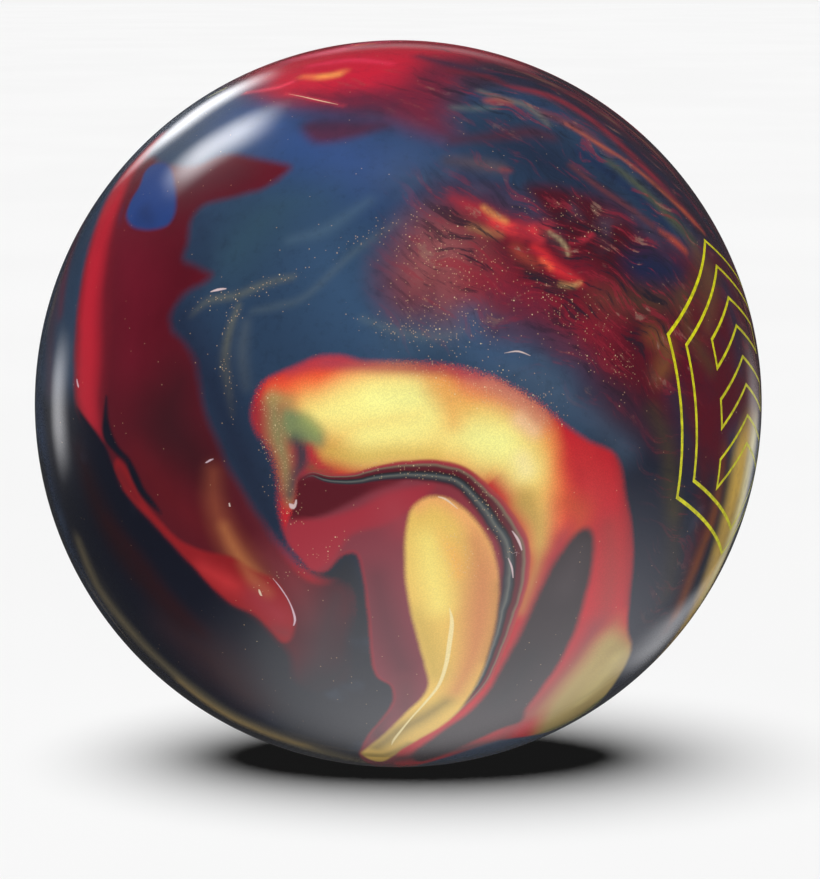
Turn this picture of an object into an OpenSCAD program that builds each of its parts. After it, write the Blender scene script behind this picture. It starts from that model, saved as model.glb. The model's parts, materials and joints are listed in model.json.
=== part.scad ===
// Ten-pin bowling ball, drilled for a right hand with a fingertip grip.
// The origin is the centre of the ball and +Z is up. The round emblem faces +X,
// the grip faces +Y, and the mostly plain side faces -Y.

/* [Ball] */
// Diameter of the ball
ball_d = 216; // [216:0.5:218]
// Thickness of the reactive outer shell
cover_t = 17; // [15:0.5:19]

/* [Grip] */
// Compass angle of the middle of the grip, counted from +X towards +Y
grip_az = 105; // [95:1:115]
// Angle of the middle of the grip above the horizon
grip_el = 5; // [0:1:10]
// Angle at the centre from the middle of the grip to the thumb hole or to the finger holes
half_span = 33; // [31:0.5:35]
// Material left between the two finger holes at the surface
bridge_t = 8; // [6:0.5:10]

/* [Finger inserts] */
// Diameter of the hole drilled for a finger insert
insert_d = 24.6; // [23:0.1:25]
// Diameter that is left for the finger
finger_d = 19.5; // [18:0.1:20.5]
// Depth of the insert below the surface
insert_depth = 28; // [24:1:32]
// Space under the insert, left by the drill
insert_gap = 3; // [2:0.5:5]

/* [Thumb slug] */
// Diameter of the slug that is glued into the ball
slug_d = 35; // [32:0.5:35]
// Diameter that is left for the thumb
thumb_d = 25; // [22:0.5:26]
// Depth of the slug below the surface
slug_depth = 68; // [60:1:68]
// Material left under the thumb hole
slug_floor = 4; // [3:0.5:6]

/* [Weight block] */
// Angle of the locator pin above the horizon
pin_el = 66; // [62:1:68]
// Compass angle of the locator pin, counted from +X towards +Y
pin_az = 75; // [70:1:80]
// Radius of the bowl at the bottom of the weight block
bowl_r = 36; // [32:0.5:37]
// Distance of the bowl's centre below the ball's centre, along the pin
bowl_drop = 14; // [10:0.5:16]
// Radius of the neck above the bowl
neck_r = 20; // [18:0.5:22]
// Radius of the cap at the top of the neck
cap_r = 26; // [24:0.5:27]
// Distance of the cap's top from the ball's centre, along the pin
cap_top = 60; // [56:0.5:62]
// Thickness of the cap
cap_t = 14; // [12:0.5:16]
// Radius of the flip block's two lobes
flip_r = 44; // [40:0.5:46]
// Width of the flip block between its flat sides
flip_w = 56; // [52:0.5:60]
// Thickness of the flip block
flip_t = 14; // [12:0.5:16]

/* [Pins and marks] */
// Diameter of the locator pin
pin_d = 10; // [8:0.5:12]
// Diameter of the mass bias pin
bias_d = 6; // [5:0.5:7]
// Depth of the mass bias pin
bias_depth = 12; // [8:0.5:14]
// Diameter of the centre of gravity mark
cg_d = 5; // [4:0.5:6]
// Depth of the centre of gravity mark
cg_depth = 2; // [2:0.5:4]
// Depth of the engraved lines
engrave_depth = 0.6; // [0.4:0.1:0.8]

/* [Emblem] */
// Compass angle of the emblem, counted from +X towards +Y
emblem_az = -22; // [-25:1:-18]
// Angle of the emblem above the horizon
emblem_el = 4; // [0:1:8]
// Radius of the emblem's outer hexagon, corner to centre
emblem_r = 46; // [40:1:48]
// Width of the emblem's engraved lines
line_w = 1; // [0.8:0.1:1.4]

/* [Hidden] */
$fn = 200;
ball_r = ball_d / 2;
core_r = ball_r - cover_t;
clear = 4; // how far a cutter runs past the surface
insert_r = insert_d / 2;
finger_r = finger_d / 2;
slug_r = slug_d / 2;
thumb_r = thumb_d / 2;
finger_bevel = 1.4;
thumb_bevel = 1.8;
edge_bevel = 0.5; // broken edge of each hole drilled in the shell
finger_turn = asin((insert_d + bridge_t) / ball_d); // half the angle between the finger holes
emblem_inner_r = emblem_r * 0.84;
arrow_w = emblem_r * 0.44; // half the width of one lane arrow
arrow_drop = emblem_r * 0.22;
arrow_t = emblem_r * 0.20; // thickness of an arrow along its axis
arrow_pitch = emblem_r * 0.37;
arrow_lift = emblem_r * 0.27; // height of the middle arrow's tip above the emblem's centre
arrow_slope = sqrt(1 + pow(arrow_drop / arrow_w, 2));
flip_z = cap_top - cap_t - flip_t; // underside of the flip block
cap_edge = 3;
cg_az = 90;
cg_el = 14;

// Turn +Z to a compass angle and an angle above the horizon, with +X pointing down.
module aim(az, el) {
    rotate([0, 0, az])
        rotate([0, 90 - el, 0])
            children();
}

// Frame of one finger hole: side is 1 for the middle finger and -1 for the ring finger.
module finger_frame(side) {
    aim(grip_az, grip_el)
        rotate([0, -half_span, 0])
            rotate([side * finger_turn, 0, 0])
                children();
}

module thumb_frame() {
    aim(grip_az, grip_el)
        rotate([0, half_span, 0])
            children();
}

// Straight cutter from a depth to past the surface.
module drill(r, depth) {
    translate([0, 0, ball_r - depth])
        cylinder(r = r, h = depth + clear);
}

// Cone that breaks the edge of a hole of radius r by an amount b.
module bevel(r, b) {
    edge_z = sqrt(pow(ball_r, 2) - pow(r, 2));
    translate([0, 0, edge_z - b])
        cylinder(r1 = r, r2 = r + b + clear, h = b + clear);
}

module weight_shape() {
    union() {
        translate([0, 0, -bowl_drop])
            sphere(r = bowl_r);
        cylinder(r = neck_r, h = cap_top - cap_edge);
        translate([0, 0, cap_top - cap_t])
            cylinder(r = cap_r, h = cap_t - cap_edge);
        translate([0, 0, cap_top - cap_edge])
            cylinder(r1 = cap_r, r2 = cap_r - cap_edge, h = cap_edge);
    }
}

module flip_shape() {
    translate([0, 0, flip_z])
        intersection() {
            cylinder(r = flip_r, h = flip_t);
            translate([-flip_r, -flip_w / 2, 0])
                cube([2 * flip_r, flip_w, flip_t]);
        }
}

// One lane arrow, with its tip at the origin; s thins the shape for its inside.
function arrow(s) = [
    [s - arrow_w, -arrow_drop * (arrow_w - s) / arrow_w - s * arrow_slope],
    [0, -s * arrow_slope],
    [arrow_w - s, -arrow_drop * (arrow_w - s) / arrow_w - s * arrow_slope],
    [arrow_w - s, -arrow_drop * (arrow_w - s) / arrow_w - arrow_t + s * arrow_slope],
    [0, -arrow_t + s * arrow_slope],
    [s - arrow_w, -arrow_drop * (arrow_w - s) / arrow_w - arrow_t + s * arrow_slope],
];

module hexagon_line(r) {
    difference() {
        circle(r = r, $fn = 6);
        circle(r = r - line_w / cos(30), $fn = 6);
    }
}

// Two hexagons around three lane arrows, drawn as lines.
module emblem_lines() {
    rotate(30) {
        hexagon_line(emblem_r);
        hexagon_line(emblem_inner_r);
    }
    for (i = [-1:1])
        translate([0, i * arrow_pitch + arrow_lift])
            difference() {
                polygon(arrow(0));
                polygon(arrow(line_w));
            }
}

module emblem_cut() {
    aim(emblem_az, emblem_el)
        rotate([0, 0, 90])
            linear_extrude(height = ball_r + clear)
                emblem_lines();
}

// Cutters for what goes in from the surface, shared by the shell and the filler.
module drilled_holes() {
    for (side = [-1, 1])
        finger_frame(side)
            drill(insert_r, insert_depth + insert_gap);
    thumb_frame()
        drill(slug_r, slug_depth);
    aim(pin_az, pin_el)
        drill(pin_d / 2, ball_r - cap_top + cap_edge);
}

module coverstock() {
    color("midnightblue")
        difference() {
            sphere(r = ball_r);
            sphere(r = core_r);
            drilled_holes();
            for (side = [-1, 1])
                finger_frame(side)
                    bevel(insert_r, edge_bevel);
            thumb_frame()
                bevel(slug_r, edge_bevel);
            aim(pin_az, pin_el - 90)
                drill(bias_d / 2, bias_depth);
            aim(cg_az, cg_el)
                drill(cg_d / 2, cg_depth);
            difference() {
                emblem_cut();
                sphere(r = ball_r - engrave_depth);
            }
        }
}

module filler_core() {
    color("dimgray")
        difference() {
            sphere(r = core_r);
            drilled_holes();
            aim(pin_az, pin_el) {
                weight_shape();
                flip_shape();
            }
        }
}

module weight_block() {
    color("goldenrod")
        aim(pin_az, pin_el)
            weight_shape();
}

// The flip block is cast around the neck of the weight block.
module flip_block() {
    color("firebrick")
        aim(pin_az, pin_el)
            difference() {
                flip_shape();
                weight_shape();
            }
}

module locator_pin() {
    color("gold")
        aim(pin_az, pin_el)
            intersection() {
                translate([0, 0, cap_top])
                    cylinder(r = pin_d / 2, h = ball_r);
                sphere(r = ball_r);
            }
}

module mass_bias_pin() {
    color("gold")
        aim(pin_az, pin_el - 90)
            intersection() {
                drill(bias_d / 2, bias_depth);
                sphere(r = ball_r);
            }
}

module cg_mark() {
    color("yellow")
        aim(cg_az, cg_el)
            intersection() {
                drill(cg_d / 2, cg_depth);
                sphere(r = ball_r);
            }
}

// The insert's top is a flat ring just below the ball's surface, with its inner edge broken.
module finger_insert(side) {
    top_z = sqrt(pow(ball_r, 2) - pow(insert_r, 2));
    low_z = ball_r - insert_depth;
    finger_frame(side)
        rotate_extrude()
            polygon([
                [finger_r, low_z],
                [insert_r, low_z],
                [insert_r, top_z],
                [finger_r + finger_bevel, top_z],
                [finger_r, top_z - finger_bevel],
            ]);
}

module middle_finger_insert() {
    color("crimson")
        finger_insert(1);
}

module ring_finger_insert() {
    color("crimson")
        finger_insert(-1);
}

module thumb_slug() {
    color("darkred")
        thumb_frame()
            difference() {
                intersection() {
                    drill(slug_r, slug_depth);
                    sphere(r = ball_r);
                }
                drill(thumb_r, slug_depth - slug_floor);
                bevel(thumb_r, thumb_bevel);
            }
}

module emblem_inlay() {
    color("yellow")
        intersection() {
            emblem_cut();
            difference() {
                sphere(r = ball_r);
                sphere(r = ball_r - engrave_depth);
            }
        }
}

coverstock();
filler_core();
weight_block();
flip_block();
locator_pin();
mass_bias_pin();
cg_mark();
middle_finger_insert();
ring_finger_insert();
thumb_slug();
emblem_inlay();
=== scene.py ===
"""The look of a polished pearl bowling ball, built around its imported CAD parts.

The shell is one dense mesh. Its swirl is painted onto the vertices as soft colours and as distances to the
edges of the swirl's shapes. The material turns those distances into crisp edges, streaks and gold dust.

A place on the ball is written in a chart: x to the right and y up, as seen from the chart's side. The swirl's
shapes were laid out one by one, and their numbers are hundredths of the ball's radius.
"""
import json
import math

import bmesh
import bpy
import numpy as np
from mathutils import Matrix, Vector


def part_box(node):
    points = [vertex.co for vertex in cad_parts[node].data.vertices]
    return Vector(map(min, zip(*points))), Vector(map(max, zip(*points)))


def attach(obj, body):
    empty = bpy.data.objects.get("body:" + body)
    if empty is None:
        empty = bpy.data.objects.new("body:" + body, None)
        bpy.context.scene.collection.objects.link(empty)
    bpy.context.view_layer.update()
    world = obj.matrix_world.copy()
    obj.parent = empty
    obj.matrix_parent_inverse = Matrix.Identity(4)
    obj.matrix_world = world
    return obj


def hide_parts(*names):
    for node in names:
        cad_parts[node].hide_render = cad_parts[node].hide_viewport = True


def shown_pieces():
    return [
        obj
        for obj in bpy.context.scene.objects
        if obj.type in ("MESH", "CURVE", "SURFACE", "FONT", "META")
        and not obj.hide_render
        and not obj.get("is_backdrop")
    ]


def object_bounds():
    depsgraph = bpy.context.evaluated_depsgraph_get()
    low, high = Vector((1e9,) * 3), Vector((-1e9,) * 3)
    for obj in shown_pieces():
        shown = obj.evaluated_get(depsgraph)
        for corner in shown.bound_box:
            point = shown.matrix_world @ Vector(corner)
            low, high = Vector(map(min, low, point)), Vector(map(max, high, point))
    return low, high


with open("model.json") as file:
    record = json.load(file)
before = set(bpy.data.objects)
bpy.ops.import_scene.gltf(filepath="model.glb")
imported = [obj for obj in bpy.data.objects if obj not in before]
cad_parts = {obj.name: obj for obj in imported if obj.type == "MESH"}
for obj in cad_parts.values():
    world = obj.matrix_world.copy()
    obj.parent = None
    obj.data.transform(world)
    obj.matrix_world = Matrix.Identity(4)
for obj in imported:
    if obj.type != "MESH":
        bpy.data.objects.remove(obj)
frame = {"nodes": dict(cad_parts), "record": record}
cad_lo, cad_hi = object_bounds()

MM = 0.001
BALL_R = (cad_hi.z - cad_lo.z) / 2
CORE_R = (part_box("filler_core")[1].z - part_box("filler_core")[0].z) / 2

# Camera
VIEW_EL = math.radians(8)
LENS = 135
SENSOR = 36
FRAME_W, FRAME_H = 820, 879
BALL_SHARE = 0.8866  # the ball's width as a share of the frame's width
AIM_RIGHT, AIM_DOWN = 0.032, 0.098  # where the camera looks, in ball radii from the ball's centre
LIMB_TAN = BALL_SHARE * FRAME_W / FRAME_H * SENSOR / 2 / LENS
VIEW_D = BALL_R / math.sin(math.atan(LIMB_TAN))
LIMB = math.acos(BALL_R / VIEW_D)  # the angle from the front to the outline that the camera sees

# Meshes
GRID = 160  # squares along one side of the cube that is blown up into the ball
INNER_GRID = 32
SHADE_GRID = 24
RING = 96  # corners around a turned piece
CREASE = math.radians(35)
SKIN_FACING = 0.98  # a face that looks this straight outward belongs to the ball's skin
HOLE_LIP = 0.6 * MM
SEAM = 0.25 * MM  # rounding of the thin line between the shell and what fills its holes
PROUD = 2 * MM  # how far a cutter runs past the surface
NOTHING = 1e-9


def linear(hex_colour):
    """An sRGB colour such as "1f3a5f" as linear red, green and blue."""
    parts = [int(hex_colour[i:i + 2], 16) / 255 for i in (0, 2, 4)]
    return [c / 12.92 if c <= 0.04045 else ((c + 0.055) / 1.055) ** 2.4 for c in parts]


def smooth(x):
    x = np.clip(x, 0, 1)
    return x * x * (3 - 2 * x)


# ---------------------------------------------------------------- charts and shapes


class Chart:
    """Flat coordinates around one side of the ball. Their length is 1 at the outline seen from that side."""

    def __init__(self, front, up, spin=0.0, mirror=False):
        self.front = np.array(Vector(front).normalized())
        right = np.cross(np.array(up, float), self.front)
        right /= np.linalg.norm(right)
        over = np.cross(self.front, right)
        c, s = math.cos(spin), math.sin(spin)
        self.right = (c * right + s * over) * (-1 if mirror else 1)
        self.up = c * over - s * right

    def flat(self, n):
        """Directions, one per row, to flat coordinates."""
        x, y = n @ self.right, n @ self.up
        across = np.maximum(np.hypot(x, y), NOTHING)
        reach = np.arccos(np.clip(n @ self.front, -1, 1)) / LIMB
        return np.stack([x, y], 1) * (reach / across)[:, None]

    @staticmethod
    def seen(p):
        """Places as the camera sees them, in ball radii, to (flat coordinates, the map's scale there)."""
        rho = np.maximum(np.hypot(p[:, 0], p[:, 1]), NOTHING)
        beta = np.arctan(np.minimum(rho, 1) * LIMB_TAN)
        theta = np.arcsin(np.minimum(np.sin(beta) * VIEW_D / BALL_R, 1)) - beta
        scale = np.where(rho < 1, theta / LIMB, rho) / rho
        return p[:, :2] * scale[:, None], scale


def curve(p, closed, steps=4):
    """A Catmull-Rom curve through the rows of points."""
    if closed:
        p = np.vstack([p[-1:], p, p[:2]])
    else:
        p = np.vstack([2 * p[:1] - p[1:2], p, 2 * p[-1:] - p[-2:-1]])
    a, b, c, d = (p[i:len(p) - 3 + i, None, :] for i in range(4))
    t = np.linspace(0, 1, steps, endpoint=False)[None, :, None]
    rows = 0.5 * (2 * b + (c - a) * t + (2 * a - 5 * b + 4 * c - d) * t**2 + (3 * b - a - 3 * c + d) * t**3)
    rows = rows.reshape(-1, p.shape[1])
    return rows if closed else np.vstack([rows, p[-2:-1]])


def along(xy, line):
    """For each place: its distance to a line, which side it is on, and the line's other columns there."""
    best = np.full(len(xy), 1e9)
    side = np.ones(len(xy))
    extra = np.zeros((len(xy), line.shape[1] - 2))
    for a, b in zip(line[:-1], line[1:]):
        ab = b[:2] - a[:2]
        ap = xy - a[:2]
        t = np.clip(ap @ ab / max(ab @ ab, 1e-12), 0, 1)
        gap = np.hypot(ap[:, 0] - t * ab[0], ap[:, 1] - t * ab[1])
        near = gap < best
        best[near] = gap[near]
        side[near] = np.sign(ab[0] * ap[near, 1] - ab[1] * ap[near, 0])
        extra[near] = a[2:] + t[near, None] * (b[2:] - a[2:])
    return best, side, extra


def inside(xy, line):
    """Which places a closed line goes round."""
    hit = np.zeros(len(xy), bool)
    for a, b in zip(line, np.roll(line, -1, 0)):
        if a[1] != b[1]:
            cross = (a[1] > xy[:, 1]) != (b[1] > xy[:, 1])
            hit ^= cross & (xy[:, 0] < a[0] + (xy[:, 1] - a[1]) * (b[0] - a[0]) / (b[1] - a[1]))
    return hit


def rows_near(xy, line, reach):
    return np.flatnonzero(np.all((xy > line[:, :2].min(0) - reach) & (xy < line[:, :2].max(0) + reach), 1))


class Shape:
    """A filled outline, or a stroke whose points carry a half width. Its depth is positive inside.

    Its softness, points and bleed come in hundredths of the ball's radius.
    """

    def __init__(self, soft, points, opacity=1.0, bleed=0.0):
        points = np.array(points, float) / 100
        flat, scale = Chart.seen(points)
        self.soft, self.opacity, self.bleed = soft / 100 * scale.mean(), opacity, bleed / 100
        self.is_stroke = points.shape[1] > 2
        self.line = curve(np.hstack([flat, points[:, 2:] * scale[:, None]]), not self.is_stroke)

    def depth(self, xy):
        """(rows near the shape, their depth)."""
        reach = 3 * self.soft + (self.line[:, 2].max() if self.is_stroke else 0) + 0.03
        rows = rows_near(xy, self.line, reach)
        if self.is_stroke:
            gap, _, extra = along(xy[rows], self.line)
            return rows, extra[:, 0] - gap
        gap, _, _ = along(xy[rows], np.vstack([self.line, self.line[:1]]))
        return rows, np.where(inside(xy[rows], self.line), gap, -gap)

    def cover(self, xy):
        """(rows near the shape, how much it covers them)."""
        rows, depth = self.depth(xy)
        return rows, smooth(0.5 + (depth + self.bleed) / (2 * self.soft)) * self.opacity


class Layer:
    """A colour at every vertex, and how deep it is inside the layer's crisp shapes, in edge widths."""

    FAR = 8.0

    def __init__(self, count, colour):
        self.rgb = np.tile(linear(colour), (count, 1))
        self.mask = np.full(count, -self.FAR)

    def paint(self, xy, table):
        for colour, *shape in table:
            rows, cover = Shape(*shape).cover(xy)
            self.rgb[rows] += cover[:, None] * (np.array(linear(colour)) - self.rgb[rows])

    def cut(self, xy, table):
        for row in table:
            shape = Shape(*row)
            rows, depth = shape.depth(xy)
            self.mask[rows] = np.maximum(self.mask[rows], np.clip(depth / shape.soft, -self.FAR, self.FAR))


# ---------------------------------------------------------------- the swirl, as seen from the front

NAVY, DEEP_NAVY, NIGHT = "2b3f58", "212b41", "151827"
BLUE, TEAL, SLATE = "33508c", "35505c", "47535f"
MAROON, ROSE, GOLD = "581624", "a83c4c", "f0d064"
RED, ORANGE = "c4222e", "f0603a"
BLEED = 2  # how far a layer's ground colour runs past the layer's crisp edge

HOOK = [
    (-40.5, -2), (-38, 5), (-33, 8.5), (-27, 11), (-22, 13), (-16, 13.2), (-9, 11.8), (3, 11.5), (13, 10.8),
    (22, 8.8), (30, 5.5), (36, 2), (42, -2.5), (48, -7.5), (53, -10.5), (58.5, -13), (61.2, -17), (62.5, -25),
    (64, -33), (64.5, -42), (63.5, -53), (63, -62), (64, -68), (60, -76), (53, -84), (42, -90), (28, -92.5),
    (12, -97.5), (-2, -100), (-10, -97.5), (-8.5, -92), (-4.5, -87), (-1.2, -82), (-1.8, -77.5), (-5.5, -75),
    (-7, -70), (-7.8, -60), (-9, -50), (-10.3, -43), (-12, -40.5), (-16, -41.5), (-20, -45.5), (-23.5, -45.5),
    (-27, -42), (-31, -36), (-33, -28), (-33.5, -20), (-36, -12), (-39.5, -7),
]
HOOK_INSIDE = [
    (-27.5, -20.5), (-24, -18.5), (-19, -19.5), (-13, -19.2), (-7, -17.6), (0, -16), (6, -15.5), (12, -15.8),
    (17, -17), (22, -20), (27, -25), (31.5, -30.5), (34.8, -36), (36, -42), (35.2, -50), (33, -57),
    (30.5, -64), (27.5, -71), (23.5, -78), (17, -84.5), (8, -90.5), (0, -95.5),
]
FOOT_TO_LEFT = slice(28, 45)  # the points of HOOK from its foot up to its left end
OUTER_EDGE = slice(24)  # the points of HOOK along its top and down its right side
ROSE_FIELD = HOOK_INSIDE + HOOK[FOOT_TO_LEFT] + [(-29.5, -30), (-28.2, -25)]
WEDGE = [
    (52, -34), (53.8, -37), (53.5, -43), (52.5, -49), (51, -55), (48.8, -62), (45, -70), (40, -77.5),
    (35.5, -83.5), (33.5, -87.5), (27, -90), (17, -94.5), (6, -98.5), (4, -96), (12, -90), (19, -85),
    (24.5, -79), (28.5, -72), (32.5, -65), (36, -57.5), (39, -51), (42, -45), (45.5, -39.5), (48.8, -35.5),
]
TEARDROP = [
    (10, -25.4), (6.2, -26.4), (3.6, -29), (2.4, -33), (1.8, -39), (1.8, -45), (2.4, -51), (3.6, -58),
    (5.4, -65), (7.2, -72), (8.2, -77), (6.2, -81), (2, -85), (-3, -90), (-8.5, -94.5), (-10, -96.5),
    (-5, -98.5), (1, -95), (7, -91.5), (14, -87), (18.8, -81.5), (23, -73.5), (26, -64), (27.5, -55),
    (27.6, -48), (26.2, -41), (23.5, -35.2), (19, -29.8), (14.5, -26.5),
]
WINE_FIELD = [
    (-62, 65.5), (-56, 65.5), (-50, 68), (-44, 68.6), (-37, 67.2), (-29.7, 65.5), (-32, 62.5), (-38, 59),
    (-46, 56.8), (-54, 54.5), (-57.2, 50), (-57.8, 45), (-59.2, 40), (-55.5, 37.8), (-51.5, 35.8),
    (-53.5, 33.5), (-58.5, 30.5), (-62.5, 25.5), (-62.2, 20.5), (-58.5, 16.5), (-55.7, 11), (-54.5, 4),
    (-53, -3), (-50, -10), (-46.5, -18), (-42, -25.5), (-37.5, -32.5), (-33, -39), (-27.5, -44.5),
    (-21, -48.5), (-14.5, -50), (-13, -56), (-14, -66), (-14, -74.5), (-17.5, -77), (-24, -78.5),
    (-28.5, -76), (-29.5, -70), (-31, -67.2), (-34.5, -64), (-38, -60), (-42.5, -56.5), (-47.5, -54),
    (-53, -48.5), (-58.5, -42.5), (-64, -36.5), (-70, -30), (-75.5, -23.5), (-79, -16.5), (-81, -12),
    (-85, -6), (-88.5, -1), (-89, 10), (-88.5, 22), (-86.5, 36), (-83, 48), (-78.5, 57), (-73, 66), (-68, 68),
    (-65.5, 66),
]
BLUE_BLOB = [
    (-66.5, 66.2), (-63, 65.5), (-61.5, 60), (-61.2, 54), (-63, 49.5), (-68, 48), (-73, 48.8), (-74.8, 52),
    (-73.2, 56.5), (-71, 60), (-69.5, 64),
]
RED_STREAK = [
    (-65.5, 73.5, 1.2), (-71.5, 67, 3), (-76.5, 60, 4.2), (-80.3, 50, 5.2), (-82.7, 39, 5.6), (-84.2, 27, 6),
    (-84.5, 15, 6.4), (-85, 3, 5.6), (-83.5, -4, 3.4), (-81.5, -8.5, 0.4),
]
TONGUE = [
    (-77.5, -15), (-74.5, -18), (-71, -25), (-66.5, -31), (-60, -37.5), (-53, -40.5), (-46, -42),
    (-40, -45.5), (-34.5, -48), (-31.8, -51.5), (-29.8, -55), (-28.5, -60), (-29.5, -64.5), (-32, -65.5),
    (-36, -61.5), (-40, -57.8), (-46, -54.8), (-51.5, -50), (-57, -44), (-63, -37.5), (-69, -31),
    (-74.5, -25), (-78, -19),
]
FORK = [
    (-80.3, 2, 0.3), (-80.5, -4, 1.2), (-80, -8.5, 2), (-77.5, -12.5, 1.2), (-74.5, -15.5, 1.1),
    (-72.5, -20, 1.4), (-70.5, -24, 1.3), (-68, -27, 1.1), (-65.5, -29.8, 0.3),
]
SECOND_FORK = [
    (-88.5, -1, 0.4), (-86.5, -5, 1.4), (-84, -9, 2), (-81, -13, 1.4), (-79, -18, 1), (-76.5, -22.5, 0.4),
]

# A row of a painted table is (colour, softness, points, opacity, bleed). Later rows lie over earlier ones.
# A point with a third number belongs to a stroke, and the number is the stroke's half width there.

# Soft colours under everything: the navy field, the dark lower left and the rims.
GROUND = [
    (BLUE, 16, [(-40, 80, 10), (-20, 70, 13), (0, 64, 10)], 0.6),
    (TEAL, 14, [(-45, 42, 5), (-33, 54, 5), (-22, 56, 2)], 0.6),
    ("3c5878", 16, [(-20, 40, 8), (-12, 25, 10), (-5, 14, 5)], 0.6),
    (SLATE, 12, [(2, 62, 5), (10, 60, 5), (6, 52, 4)], 0.5),
    ("4a6076", 10, [(2, 20, 5), (18, 20, 5), (30, 15, 4)], 0.6),
    ("6c6c5c", 1.8, [(-44, 27, 0.3), (-46.5, 20, 0.7), (-47.8, 12, 1), (-46.8, 4, 0.8), (-45.8, -3, 0.2)],
        0.75),
    ("5c6468", 3, [(-42, 22, 0.6), (-43, 14, 1.2), (-42, 5, 0.8)], 0.5),
    ("66695f", 1.8, [(-57, 24.5, 0.3), (-52, 28.5, 0.7), (-44, 30, 0.6), (-37, 33, 0.6), (-29, 35, 0.3)],
        0.7),
    ("56646c", 2, [(-40, 25.5, 0.3), (-33, 27, 0.6), (-25, 30, 0.5), (-12, 42, 0.6), (0, 50, 0.3)], 0.5),
    ("5c6c74", 2, [(-10, 23.5, 0.3), (0, 20, 0.7), (10, 18.5, 0.6), (18, 20, 0.3)], 0.6),
    ("586c80", 1.8, [(26, 15, 0.3), (33, 15, 0.6), (40, 12.5, 0.3)], 0.6),
    ("587080", 3, [(-30, 45, 0.4), (-20, 48, 1), (-8, 56, 0.6)], 0.4),
    ("20283c", 14, [(30, 72, 6), (42, 66, 10), (58, 55, 6), (72, 40, 5)], 0.9),
    (DEEP_NAVY, 10, [(-60, 22, 5), (-50, 2, 6), (-43, -15, 6), (-34, -33, 5)]),
    # dark lower left and bottom
    (NIGHT, 6, [(-86, 3), (-80, -8), (-69, -21), (-54, -38), (-40, -51), (-28, -64), (-26, -90), (-40, -110),
        (-80, -110), (-120, -60), (-110, -5)]),
    ("2a2d35", 6, [(-40, -66), (-30, -50), (-20, -42), (-12, -38), (-2, -60), (4, -80), (4, -110),
        (-25, -110), (-36, -85)]),
    ("3a2429", 10, [(-62, -62, 5), (-50, -72, 9), (-42, -80, 6)], 0.8),
    ("2c1319", 5, [(-88, -12, 1.5), (-84, -25, 3), (-77, -39, 3.5), (-69, -50, 3), (-60, -60, 2)], 0.9),
    ("341419", 4, [(-80, -32, 1), (-72, -42, 2), (-64, -53, 2), (-54, -63, 1)], 0.8),
    ("1f3452", 5, [(-98.5, -2, 2), (-95, -25, 3), (-88.5, -44, 3), (-80, -58, 2)], 0.9),
    ("7a6e50", 4.5, [(-88, -38, 0.6), (-83, -50, 1.6), (-75, -61, 1.8), (-66, -70.5, 1.4), (-56, -79, 2),
        (-46, -86, 2.8), (-36, -90.5, 3), (-22, -95.5, 2.4), (-10, -98.5, 1)], 0.9),
    ("a88c54", 3, [(-60, -76.5, 0.6), (-50, -84, 1.4), (-38, -90, 1.4), (-26, -94, 0.8)], 0.8),
    # left rim
    ("31486a", 6, [(-99, 30, 5), (-100, 10, 6), (-99, -8, 5)]),
    ("4a3344", 4, [(-93, 34, 2), (-95.5, 20, 2.5), (-96, 5, 2)], 0.8),
    ("6a2438", 3, [(-72, 74, 2), (-84, 56, 2.5), (-90.5, 40, 2), (-93, 25, 1)], 0.8),
    # the right side of the hook, down to the gold rim
    ("232838", 5, [(54, -6), (56, -30), (58, -50), (56, -72), (48, -93), (90, -75), (92, -40), (90, -10),
        (80, 2), (68, 6), (60, 2)]),
    ("4c6078", 9, [(30, 12, 3), (43, 4, 5), (53, -3, 3), (62, -12, 2)], 0.8),
    ("3a3430", 4, [(74, -20, 2), (76, -36, 3), (74, -52, 2)], 0.7),
    ("4a2028", 4, [(84, -16, 2.5), (83.5, -34, 3), (79, -50, 2), (74, -62, 1.2)], 0.85),
    ("d8b050", 3.5, [(98.5, 10, 2), (95.5, -10, 5), (93, -26, 6), (88.5, -42, 6), (81, -58, 4.5),
        (71, -71.5, 3), (62, -80, 1)]),
    ("8c4c24", 3, [(89.5, -12, 1.2), (87, -30, 1.6), (82, -44, 1.6), (76.5, -58, 1.2)], 0.8),
    ("fff0a8", 3, [(98.5, -2, 2), (96, -20, 3), (91, -38, 2.5), (83, -55, 1.2)], 0.9),
]
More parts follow.
